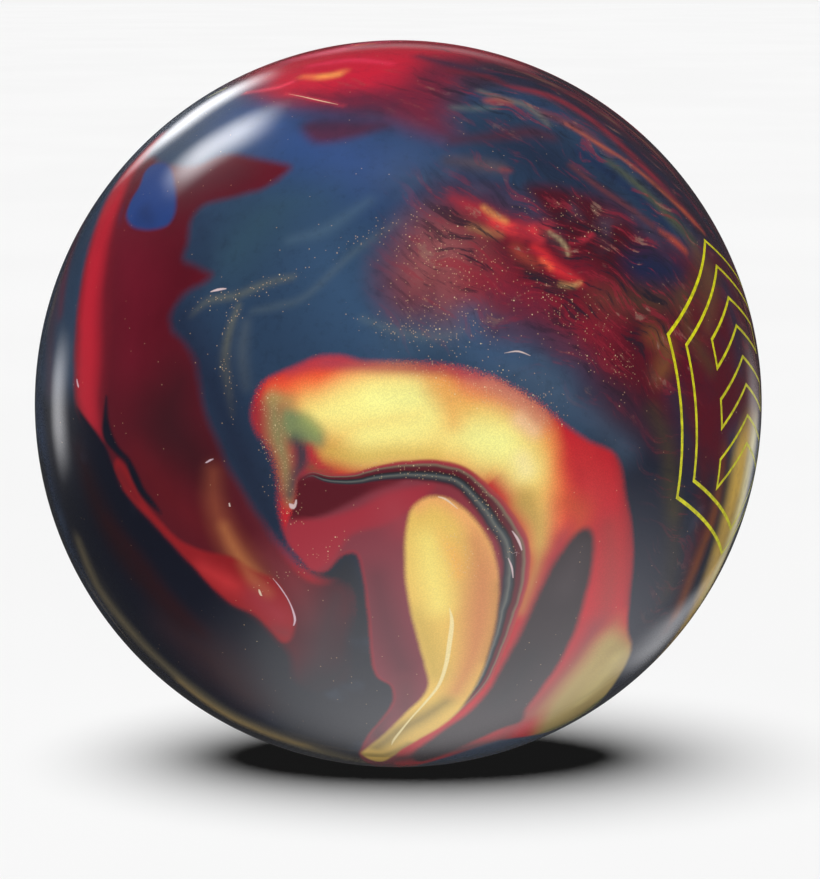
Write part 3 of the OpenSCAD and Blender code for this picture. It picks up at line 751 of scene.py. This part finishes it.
def quad_sphere(radius, per_side, inward=False):
    """A ball made of six square grids, so that it has no poles."""
    t = np.tan(np.linspace(-math.pi / 4, math.pi / 4, per_side + 1))
    a, b = (g.ravel() for g in np.meshgrid(t, t, indexing="ij"))
    one = np.ones_like(a)
    sides = [(a, b, one), (b, a, -one), (one, a, b), (-one, b, a), (b, one, a), (a, -one, b)]
    v = np.vstack([np.stack(side, 1) for side in sides])
    i = np.arange(per_side)
    corner = (i[:, None] * (per_side + 1) + i[None, :]).ravel()
    quad = np.stack([corner, corner + per_side + 1, corner + per_side + 2, corner + 1], 1)
    faces = np.vstack([quad + k * len(a) for k in range(6)])
    v, index = np.unique(np.round(v, 9), axis=0, return_inverse=True)
    faces = index.ravel()[faces]
    v = v / np.linalg.norm(v, axis=1)[:, None] * radius
    return v, faces[:, ::-1] if inward else faces


def joined(parts):
    """Several (vertices, faces) as one list of each."""
    vertices, faces, at = [], [], 0
    for v, f in parts:
        vertices.extend(map(tuple, v))
        faces.extend(tuple(int(i) + at for i in face) for face in f)
        at += len(v)
    return vertices, faces


def ring_points(radius, height, segments):
    angles = (2 * math.pi * k / segments for k in range(segments))
    return [Vector((radius * math.cos(a), radius * math.sin(a), height)) for a in angles]


def turned(axis, profile, segments=RING):
    """A closed solid turned around an axis through the ball's centre, from (radius, height) pairs."""
    spin = Vector(axis).normalized().to_track_quat("Z", "Y").to_matrix()
    vertices, rings, faces = [], [], []
    for radius, height in profile:
        if radius < NOTHING:
            rings.append([len(vertices)] * segments)
            vertices.append(spin @ Vector((0, 0, height)))
        else:
            rings.append([len(vertices) + k for k in range(segments)])
            vertices += [spin @ point for point in ring_points(radius, height, segments)]
    closed = profile[0][0] > NOTHING
    for low, high in zip(rings, rings[1:] + (rings[:1] if closed else [])):
        for k in range(segments):
            j = (k + 1) % segments
            faces.append(list(dict.fromkeys((low[k], low[j], high[j], high[k]))))
    return vertices, faces


def on_ball(radius, drop=0.0):
    """(radius, height) of a point of a turned profile that lies on the ball's surface, or just under it."""
    return radius, math.sqrt(BALL_R ** 2 - radius ** 2) - drop


def lip(radius, size, outward, steps=4):
    """The rounded corner between the ball's surface and a wall at this radius."""
    points = []
    for k in range(steps + 1):
        a = math.pi / 2 * k / steps
        in_by = size * (1 - math.sin(a))
        points.append(on_ball(radius + (in_by if outward else -in_by), size * (1 - math.cos(a))))
    return points


def axis_of(node):
    """The direction from the ball's centre of a CAD node that is turned around that direction."""
    body = frame["nodes"][node]
    total, area = Vector(), 0.0
    for face in body.data.polygons:
        total += face.area * (body.matrix_world @ face.center)
        area += face.area
    return (total / area).normalized()


def turned_size(node):
    """(axis, outer radius, lowest height) of a CAD node that is turned around an axis."""
    axis = axis_of(node)
    body = frame["nodes"][node]
    v = np.array([body.matrix_world @ vertex.co for vertex in body.data.vertices])
    height = v @ np.array(axis)
    out = np.linalg.norm(v - height[:, None] * np.array(axis), axis=1)
    return axis, out.max(), height.min()


MOUNTS = {mount["name"]: mount["dims"] for mount in frame["record"]["mounts"] if mount.get("dims")}
INSERTS = {"middle_finger_insert": "middle_finger_hole", "ring_finger_insert": "ring_finger_hole"}
PINS = ["locator_pin", "mass_bias_pin", "cg_mark"]


def turned_piece(name, axis, profile, segments=RING):
    """A turned solid with outward faces and smooth shading with crisp edges."""
    made = mesh_object(name, *turned(axis, profile, segments))
    bm = bmesh.new()
    bm.from_mesh(made.data)
    bmesh.ops.recalc_face_normals(bm, faces=bm.faces)
    for face in bm.faces:
        face.smooth = True
    for edge in bm.edges:
        if len(edge.link_faces) == 2 and edge.calc_face_angle(0) > CREASE:
            edge.smooth = False
    bm.to_mesh(made.data)
    bm.free()
    return made


def cutter(node):
    """What is taken out of the shell for a node that is turned around its own axis."""
    axis, radius, low = turned_size(node)
    top = [(r, BALL_R + PROUD) for r in (radius + SEAM, 0)]
    profile = [(0, low - PROUD), (radius, low - PROUD)] + lip(radius, SEAM, True)[::-1] + top
    return turned_piece("cutter_" + node, axis, profile)


def emblem_cutter():
    """The engraved lines: the CAD inlay, with its outer face pushed out past the ball."""
    axis = axis_of("emblem_inlay")
    source = frame["nodes"]["emblem_inlay"]
    bm = bmesh.new()
    bm.from_mesh(source.data)
    bm.transform(source.matrix_world)
    bmesh.ops.remove_doubles(bm, verts=bm.verts, dist=MM / 1000)
    for v in bm.verts:
        if v.co.length > BALL_R - 0.1 * MM:
            v.co += axis * PROUD
    mesh = bpy.data.meshes.new("cutter_emblem")
    bm.to_mesh(mesh)
    bm.free()
    return placed("cutter_emblem", mesh)


def carve(body, cutters):
    """Takes every cutter out of the body."""
    for tool in cutters:
        cut = body.modifiers.new(tool.name, "BOOLEAN")
        cut.operation, cut.object, cut.solver = "DIFFERENCE", tool, "MANIFOLD"
    bpy.context.view_layer.update()
    done = bpy.data.meshes.new_from_object(body.evaluated_get(bpy.context.evaluated_depsgraph_get()))
    body.modifiers.clear()
    body.data = done
    for tool in cutters:
        bpy.data.objects.remove(tool)


def shell():
    """The coverstock: a hollow ball with drilled pockets and an engraved emblem, painted with the swirl."""
    body = mesh_object("shell", *joined([quad_sphere(BALL_R, GRID), quad_sphere(CORE_R, INNER_GRID, True)]))
    carve(body, [cutter(node) for node in [*INSERTS, "thumb_slug", *PINS]] + [emblem_cutter()])
    mesh = body.data
    v = np.array([vertex.co for vertex in mesh.vertices])
    n = v / np.linalg.norm(v, axis=1)[:, None]
    painted(n).write(mesh)
    mesh.polygons.foreach_set("use_smooth", [True] * len(mesh.polygons))
    # the skin takes the ball's own normals; the walls of the cuts keep theirs
    normals = np.zeros((len(mesh.loops), 3))
    for face in mesh.polygons:
        reach = face.center.length
        is_skin = reach > BALL_R - SEAM / 2 and face.center.normalized().dot(face.normal) > SKIN_FACING
        for loop in face.loop_indices:
            if is_skin:
                normals[loop] = n[mesh.loops[loop].vertex_index]
            elif reach > CORE_R + MM:
                normals[loop] = face.normal
    mesh.normals_split_custom_set([tuple(row) for row in normals])
    mesh.materials.clear()
    mesh.materials.append(pearl_material())
    return body


def lining(radius, bore, low):
    """The profile of what lines a grip hole: its outer wall, a rim flush with the ball, the hole's mouth."""
    rim = [on_ball(bore + (radius - bore) * k / 4) for k in (3, 2)]
    return [(radius, low)] + lip(radius, SEAM, False)[::-1] + rim + lip(bore, HOLE_LIP * 2, True)


def sleeve(node):
    """A finger insert: a soft sleeve with a domed rim."""
    axis, radius, low = turned_size(node)
    bore = MOUNTS[INSERTS[node]]["r_mm"] * MM
    return turned_piece(node.replace("_insert", "_sleeve"), axis, [(bore, low)] + lining(radius, bore, low))


def plug():
    """The thumb slug: a solid urethane plug with the thumb hole bored into it."""
    axis, radius, low = turned_size("thumb_slug")
    bore = MOUNTS["thumb_hole"]["r_mm"] * MM
    floor = on_ball(bore)[1] - MOUNTS["thumb_hole"]["length_mm"] * MM
    bottom = [(bore, floor + HOLE_LIP), (bore - HOLE_LIP, floor), (0, floor)]
    return turned_piece("thumb_plug", axis, [(0, low)] + lining(radius, bore, low) + bottom)


def pin(node):
    """A marker pin, domed flush with the ball."""
    axis, radius, low = turned_size(node)
    dome = [on_ball(radius * k / 4) for k in (3, 2, 1, 0)]
    profile = [(0, low), (radius, low)] + lip(radius, SEAM, False)[::-1] + dome
    return turned_piece(node + "_dome", axis, profile, 64)


# ---------------------------------------------------------------- materials


class Graph:
    """A shader's node tree and short ways to add nodes to it."""

    def __init__(self, tree):
        self.tree = tree
        self.coordinates = self.add("TexCoord").outputs

    def add(self, kind, inputs=(), **settings):
        node = self.tree.nodes.new("ShaderNode" + kind)
        for key, value in settings.items():
            setattr(node, key, value)
        for key, value in dict(inputs).items():
            self.put(node.inputs[key], value)
        return node

    def put(self, socket, value):
        if isinstance(value, bpy.types.NodeSocket):
            self.tree.links.new(value, socket)
        elif isinstance(value, str):
            socket.default_value = (*linear(value), 1)
        else:
            socket.default_value = value

    def math(self, operation, a, b=0.0, c=0.0):
        return self.add("Math", {0: a, 1: b, 2: c}, operation=operation).outputs[0]

    def times(self, a, b):
        return self.math("MULTIPLY", a, b)

    def scaled(self, value, by, plus):
        return self.math("MULTIPLY_ADD", value, by, plus)

    def step(self, value, low, high, to_low=0.0, to_high=1.0):
        inputs = {"Value": value, "From Min": low, "From Max": high, "To Min": to_low, "To Max": to_high}
        return self.add("MapRange", inputs, interpolation_type="SMOOTHSTEP").outputs[0]

    def dot(self, a, b):
        return self.add("VectorMath", {0: a, 1: b}, operation="DOT_PRODUCT").outputs["Value"]


class Nodes(Graph):
    """A material and short ways to add nodes to it."""

    def __init__(self, name):
        self.material = bpy.data.materials.new(name)
        self.material.use_nodes = True
        super().__init__(self.material.node_tree)
        self.shader = self.tree.nodes["Principled BSDF"]
        self.place = self.coordinates["Object"]

    def finish(self, **sockets):
        for key, value in sockets.items():
            self.put(self.shader.inputs[key.replace("_", " ")], value)
        return self.material

    def noise(self, scale, detail=2.0, vector=None, rough=0.5):
        inputs = {"Vector": vector or self.place, "Scale": scale, "Detail": detail, "Roughness": rough}
        return self.add("TexNoise", inputs).outputs["Fac"]

    def mix(self, factor, a, b, blend="MIX"):
        inputs = {0: factor, 6: a, 7: b}
        return self.add("Mix", inputs, data_type="RGBA", blend_type=blend).outputs[2]

    def ramp(self, factor, stops):
        node = self.add("ValToRGB", {"Fac": factor})
        elements = node.color_ramp.elements
        while len(elements) < len(stops):
            elements.new(0.5)
        for element, (at, colour) in zip(elements, stops):
            element.position, element.color = at, (*linear(colour), 1)
        return node.outputs["Color"]

    def painted(self, name):
        node = self.add("Attribute", attribute_name=name)
        return node.outputs["Color"], node.outputs["Alpha"]

    def vector(self, name):
        return self.add("Attribute", attribute_name=name).outputs["Vector"]

    def parts(self, vector):
        return self.add("SeparateXYZ", {0: vector}).outputs

    def bump(self, height, strength, distance):
        inputs = {"Height": height, "Strength": strength, "Distance": distance}
        return self.add("Bump", inputs).outputs["Normal"]

    def flakes(self, scale, size, share):
        """Small bright flakes: one in each Voronoi cell whose random number is under the share."""
        cell = self.add("TexVoronoi", {"Vector": self.place, "Scale": scale})
        dot = self.step(cell.outputs["Distance"], size, size * 0.55)
        return self.times(dot, self.math("LESS_THAN", self.parts(cell.outputs["Color"])[0], share))


def mottled(make, colour, flow, share):
    """Fine slanting streaks, dark, red and tan, where the colours were stirred most."""
    part = make.parts(flow)
    x, y = (make.times(part[k], part[2]) for k in (0, 1))
    length = make.scaled(x, 0.16, make.times(y, -0.085))
    width = make.scaled(x, 0.45, make.times(y, 0.84))
    bent = make.scaled(make.noise(30), 9.0, width)
    run = make.noise(1.0, 8.0, make.add("CombineXYZ", {0: length, 1: bent}).outputs[0], 0.72)
    around = make.noise(1.3, 6.0, flow, 0.7)
    cloud = make.noise(120, 6.0, rough=0.72)
    rim = make.step(part[2], 17.5, 20.0)  # in flow rings
    looks = ((make.step(run, 0.48, 0.38), 0.85, "1c1e2a"), (make.step(run, 0.53, 0.60), 0.60, "8c2434"),
             (make.step(make.times(run, cloud), 0.31, 0.38), 0.55, "8c7868"),
             (make.times(rim, make.step(around, 0.50, 0.42)), 0.80, "1e2438"),
             (make.times(rim, make.step(around, 0.52, 0.57)), 0.75, "8c2838"),
             (make.times(rim, make.step(around, 0.59, 0.65)), 0.75, "8c7c5c"))
    for amount, most, tint in looks:
        colour = make.mix(make.times(make.times(amount, most), share), colour, tint)
    return colour


# The band of lines inside the hook, from the hook inward.
BAND_COLOURS = [
    (0.0, "d88c48"), (0.13, "b04840"), (0.21, "983440"), (0.27, "7c6858"), (0.34, "5c2830"),
    (0.42, "601c28"), (0.49, "2c282c"), (0.55, "3c444a"), (0.60, "666864"), (0.66, "4a4a4c"),
    (0.72, "34303a"), (0.80, "5c1c28"), (0.90, "8c2c38"),
]


def pearl_material():
    """The polished resin: soft pigment, the swirl's crisp layers, painted glint lines, streaks and gold dust.
    """
    make = Nodes("pearl_swirl_resin")
    grain = make.noise(2600, 1.0)
    wobble = make.noise(150)
    cloud = make.noise(22, 4.0, rough=0.6)
    glitter_share, streak, pearl_share = make.parts(make.vector("dust"))
    across, strength, mottle = make.parts(make.vector("rim"))
    flow = make.vector("flow")
    speckle = make.times(make.math("SUBTRACT", grain, 0.5), make.scaled(glitter_share, 4.0, 0.5))
    edge = make.math("ADD", make.scaled(wobble, 0.5, -0.25), speckle)

    def cover(depth):
        return make.step(make.math("ADD", depth, edge), -0.9, 0.9)

    colour, _ = make.painted("base")
    colour = make.mix(make.step(cloud, 0.52, 0.75, 0.0, 0.55), colour, DEEP_NAVY)
    colour = make.mix(make.step(make.noise(40, 3.0), 0.60, 0.78, 0.0, 0.3), colour, "4c6078")
    colour = make.mix(make.step(make.noise(330, 6.0, rough=0.75), 0.48, 0.72, 0.0, 0.22), colour, "182030")
    colour = mottled(make, colour, flow, mottle)
    for name in ("field", "bloom"):
        rgb, depth = make.painted(name)
        rgb = make.mix(make.step(cloud, 0.45, 0.8, 0.0, 0.35), rgb, make.mix(1.0, rgb, "a09098", "MULTIPLY"))
        colour = make.mix(cover(depth), colour, rgb)

    # the band of fine lines inside the hook
    band = make.math("ADD", across, make.scaled(wobble, 0.16, -0.08))
    lines = make.ramp(make.scaled(band, 1 / 1.4, 0.2 / 1.4), BAND_COLOURS)
    within = make.times(make.step(band, -0.10, 0.06), make.step(band, 1.05, 0.80))
    colour = make.mix(make.times(within, strength), colour, lines)
    rgb, depth = make.painted("drop")
    colour = make.mix(cover(depth), colour, rgb)

    # streaks along the outline
    run = make.noise(1.0, 4.0, flow, 0.65)
    colour = make.mix(make.times(make.step(run, 0.45, 0.30), make.times(streak, 0.55)), colour, "1a1a26")
    colour = make.mix(make.times(make.step(run, 0.58, 0.70), make.times(streak, 0.40)), colour, "8c7c58")

    # painted glints: fine bright lines of painted highlight, pale gold to pale pink
    gap, half, tone = make.parts(make.vector("painted_glint"))
    line = make.step(make.math("SUBTRACT", half, make.math("ABSOLUTE", gap)), -0.0008, 0.0014)
    colour = make.mix(make.times(line, 0.85), colour, make.mix(tone, "f4e88c", "dcc0cc"))

    # pearl grain and floating gold dust
    fleck = make.math("SUBTRACT", make.step(grain, 0.35, 0.68, 0.94, 1.08), 1.0)
    fleck = make.scaled(fleck, pearl_share, 1.0)
    grey = make.add("CombineXYZ", {0: fleck, 1: fleck, 2: fleck}).outputs[0]
    colour = make.add("VectorMath", {0: colour, 1: grey}, operation="MULTIPLY").outputs[0]
    dust = make.flakes(1000, 0.26, make.scaled(glitter_share, 0.12, 0.001))
    fine = make.flakes(2000, 0.45, make.scaled(glitter_share, 0.36, 0.003))
    colour = make.mix(make.times(dust, 0.65), colour, "f0dcb0")
    colour = make.mix(make.times(fine, 0.42), colour, "dcb890")
    return make.finish(Base_Color=colour, Roughness=make.step(grain, 0.3, 0.7, 0.30, 0.42), Metallic=0.0,
                       Specular_IOR_Level=0.15, Coat_Weight=1.0, Coat_Roughness=0.07, Coat_IOR=1.5)


def vinyl_material():
    """The finger inserts: soft maroon vinyl with fine pimples and a dusty bloom."""
    make = Nodes("grip_vinyl")
    dusty = make.noise(120, 4.0, rough=0.6)
    colour = make.mix(make.step(dusty, 0.4, 0.7), "5c1420", "742430")
    height = make.scaled(make.noise(1500), 0.6, make.times(dusty, 0.4))
    return make.finish(Base_Color=colour, Roughness=make.step(dusty, 0.3, 0.7, 0.5, 0.65),
                       Specular_IOR_Level=0.4, Normal=make.bump(height, 0.25, 0.2 * MM))


def slug_material():
    """The thumb slug: turned urethane, sanded flush."""
    make = Nodes("turned_urethane")
    colour = make.mix(make.step(make.noise(90, 5.0, rough=0.6), 0.35, 0.65), "40121c", "581c26")
    scratch = make.noise(2200, 1.0)
    return make.finish(Base_Color=colour, Roughness=make.step(scratch, 0.3, 0.7, 0.32, 0.48),
                       Specular_IOR_Level=0.5, Normal=make.bump(scratch, 0.12, 0.1 * MM))


def cast_material(name, light, dark, fleck, polished=False):
    """Cast filled resin: two tones, with a fine fill that shows as flecks."""
    make = Nodes(name)
    colour = make.mix(make.step(make.noise(70, 5.0, rough=0.65), 0.35, 0.65), dark, light)
    colour = make.mix(make.times(make.flakes(700, 0.35, 0.25), 0.6), colour, fleck)
    rough, coat, relief = (0.25, 1.0, 0.03) if polished else (0.6, 0.0, 0.3)
    return make.finish(Base_Color=colour, Roughness=rough, Coat_Weight=coat, Coat_Roughness=0.07,
                       Normal=make.bump(make.noise(900, 3.0), relief, 0.2 * MM))


def enamel_material():
    """Yellow paint wiped into the engraved lines, a little thinner in places."""
    make = Nodes("engraving_enamel")
    worn = make.noise(500, 4.0, rough=0.6)
    return make.finish(Base_Color=make.mix(make.step(worn, 0.35, 0.62), "b8b41c", "e0dc1c"), Roughness=0.35,
                       Specular_IOR_Level=0.4, Coat_Weight=0.6, Coat_Roughness=0.1,
                       Normal=make.bump(worn, 0.1, 0.1 * MM))


def floor_material():
    make = Nodes("pale_floor")
    colour = make.mix(make.step(make.noise(3), 0.3, 0.7), "efefef", "f1f1f1")
    return make.finish(Base_Color=colour, Roughness=0.9, Specular_IOR_Level=0.0, IOR=1.0)


def replace_pieces():
    """Every visible piece, riding the ball's one body, and the CAD nodes it stands for."""
    made = {"coverstock": shell(), "thumb_slug": plug()}
    made["thumb_slug"].data.materials.append(slug_material())
    vinyl = vinyl_material()
    for node in INSERTS:
        made[node] = sleeve(node)
        made[node].data.materials.append(vinyl)
    amber = cast_material("amber_plug", "e0ac30", "c08c24", "f0d878", True)
    for node in PINS:
        made[node] = pin(node)
        made[node].data.materials.append(amber)
    for node, piece in made.items():
        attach(piece, "root")
        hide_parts(node)


def finish_cad_nodes():
    """The CAD nodes that stay, the emblem's paint and what the shell hides, get materials of their own."""
    looks = {
        "emblem_inlay": enamel_material(),
        "filler_core": cast_material("bubbled_filler", "8c9094", "787c82", "c8ccd0"),
        "weight_block": cast_material("barium_resin", "cca048", "b08434", "e8d090"),
        "flip_block": cast_material("dense_resin", "b0402c", "943424", "d89070"),
    }
    for node, material in looks.items():
        mesh = frame["nodes"][node].data
        mesh.materials.clear()
        mesh.materials.append(material)


# ---------------------------------------------------------------- camera, light and floor

CAM_BACK, CAM_RIGHT, CAM_UP = Vector(FRONT.front), Vector(FRONT.right), Vector(FRONT.up)
FLOOR_RADII = (0.2, 1.0, 4.0, 12.0)
FLOOR_RING = 64
LAMP_TILT = math.radians(-6)
SHADE_SIZE = 0.79  # the hidden ball that shades the floor, as a share of the real one
SHADE_DEPTH = 0.62  # its depth as a share of its width
FILLS = {"front_fill": ((0.1, -0.95, 0.3), 54), "left_fill": ((-0.8, 0.5, 0.3), 34),
         "right_fill": ((0.8, 0.5, 0.3), 34)}
FILL_D, FILL_SIZE = 3.0, 2.6
ROOM_BRIGHT = Vector((0.28, -0.18, -0.94))  # where the room that the polish reflects is brightest


def add_camera():
    camera = placed("camera", bpy.data.cameras.new("camera"))
    camera.data.lens, camera.data.sensor_width = LENS, SENSOR
    camera.data.clip_start, camera.data.clip_end = 0.01, 40
    camera.location = CAM_BACK * VIEW_D
    aim = (CAM_RIGHT * AIM_RIGHT - CAM_UP * AIM_DOWN) * BALL_R
    camera.rotation_mode = "QUATERNION"
    camera.rotation_quaternion = (aim - camera.location).to_track_quat("-Z", "Y")
    bpy.context.scene.camera = camera


def add_floor():
    points = [Vector((0, 0, -BALL_R))]
    for radius in FLOOR_RADII:
        points += ring_points(radius, -BALL_R, FLOOR_RING)
    faces = []
    for k in range(FLOOR_RING):
        a, b = 1 + k, 1 + (k + 1) % FLOOR_RING
        faces.append((0, a, b))
        for at in range(0, (len(FLOOR_RADII) - 1) * FLOOR_RING, FLOOR_RING):
            faces.append((a + at, a + at + FLOOR_RING, b + at + FLOOR_RING, b + at))
    floor = mesh_object("floor", points, faces)
    floor.data.materials.append(floor_material())
    floor.visible_glossy = False
    floor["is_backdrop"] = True
    return floor


def mirrored(u, v):
    """Where a light has to stand to be mirrored at a place on the ball, as seen by the camera."""
    eye = CAM_BACK * VIEW_D
    look = ((CAM_RIGHT * u + CAM_UP * v) * LIMB_TAN - CAM_BACK).normalized()
    toward = look.dot(eye)
    reach = -toward - math.sqrt(toward ** 2 - VIEW_D ** 2 + BALL_R ** 2)
    return look.reflect((eye + look * reach).normalized())


def collection_of(name, members):
    made = bpy.data.collections.new(name)
    for member in members:
        made.objects.link(member)
    return made


def add_fill(name, direction, power, lit):
    """A soft disc of light that stands in a direction and lights one collection."""
    light = bpy.data.lights.new(name, "AREA")
    light.shape, light.size, light.energy = "DISK", FILL_SIZE, power
    light.cycles.use_multiple_importance_sampling = False
    lamp = placed(name, light)
    lamp.location = direction * FILL_D
    lamp.rotation_mode = "QUATERNION"
    lamp.rotation_quaternion = direction.to_track_quat("Z", "Y")
    lamp.visible_glossy = lamp.visible_camera = False
    lamp.light_linking.receiver_collection = lit


def overhead(name, angle, power, lit):
    """A lamp almost straight above that lights one collection."""
    sun = bpy.data.lights.new(name, "SUN")
    sun.energy, sun.angle = power, math.radians(angle)
    lamp = placed(name, sun)
    lamp.rotation_euler = (0, LAMP_TILT, 0)
    lamp.visible_glossy = False
    lamp.light_linking.receiver_collection = lit
    return lamp


def add_shade():
    """A smaller, narrower ball hidden inside the real one, for the floor's lamp alone."""
    size = SHADE_SIZE * BALL_R
    shade = mesh_object("shade", *quad_sphere(size, SHADE_GRID))
    shade.scale.y = SHADE_DEPTH
    shade.location.z = size - BALL_R + MM
    shade.visible_camera = shade.visible_diffuse = shade.visible_glossy = False
    shade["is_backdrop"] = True
    return shade


def add_lights(floor):
    """Overhead lamps for the ball and for the floor, and soft fills that light the ball alone.

    Only the shade blocks the floor's own lamp, which keeps the shadow compact and dark, as under a broad
    soft box.
    """
    ball = collection_of("lit_ball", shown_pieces())
    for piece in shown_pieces():
        piece.visible_diffuse = False
    overhead("overhead", angle=28, power=2.8, lit=ball)
    shades = collection_of("shades_floor", [add_shade()])
    on_floor = overhead("overhead_on_floor", angle=48, power=3.36, lit=collection_of("lit_floor", [floor]))
    on_floor.light_linking.blocker_collection = shades
    for name, (direction, power) in FILLS.items():
        add_fill(name, Vector(direction).normalized(), power, ball)


# Soft boxes: the two ends of the streak each one makes on the ball, its half width, and its strength.
SOFT_BOXES = [
    ((-0.624, 0.614), (-0.345, 0.782), 0.20, 6.5),
    ((-0.69, 0.675), (-0.37, 0.90), 0.18, 3.6),
    ((-0.25, 0.95), (0.35, 0.92), 0.12, 0.25),
    ((-0.918, -0.17), (-0.918, 0.17), 0.16, 1.7),
    ((0.62, -0.74), (0.80, -0.53), 0.34, 0.75),
    ((0.93, -0.35), (0.96, 0.05), 0.14, 0.5),
]


def soft_box(make, looking, start, end, half_width, strength):
    """The brightness of one box in the direction a reflection looks: it fades out toward its edges."""
    a, b = mirrored(*start), mirrored(*end)
    length = (b - a).length / 2
    middle = (a + b).normalized()
    axes = ((b - a).normalized(), middle.cross(b - a).normalized())
    off, aside = (make.math("ABSOLUTE", make.dot(looking, axis)) for axis in axes)
    glow = make.step(off, length * 1.3, length * 0.3, 0.0, strength)
    glow = make.times(glow, make.step(aside, half_width, 0.0))
    return make.times(glow, make.step(make.dot(looking, middle), 0.0, 0.2))


def add_world():
    """Pale to the camera, a faint dome for diffuse light, and a dim room with soft boxes for reflections."""
    world = bpy.data.worlds.new("studio")
    bpy.context.scene.world = world
    world.use_nodes = True
    world.node_tree.nodes.clear()
    make = Graph(world.node_tree)
    looking = make.coordinates["Generated"]
    glow = make.step(make.dot(looking, ROOM_BRIGHT.normalized()), 0.45, 1.0, 0.035, 1.15)
    for box in SOFT_BOXES:
        glow = make.math("ADD", glow, soft_box(make, looking, *box))
    room = make.add("Background", {"Color": (1.0, 1.0, 1.03, 1), "Strength": glow})
    plain = make.add("Background", {"Color": "f6f6f6", "Strength": 1.0})
    dome = make.add("Background", {"Color": "ffffff", "Strength": 0.01})
    ray = make.add("LightPath").outputs
    unseen = make.add("MixShader", {0: ray["Is Glossy Ray"], 1: dome.outputs[0], 2: room.outputs[0]})
    seen = make.add("MixShader", {0: ray["Is Camera Ray"], 1: unseen.outputs[0], 2: plain.outputs[0]})
    make.add("OutputWorld", {0: seen.outputs[0]})
    bpy.context.scene.view_settings.view_transform = "Standard"


replace_pieces()
finish_cad_nodes()
add_camera()
add_world()
add_lights(add_floor())
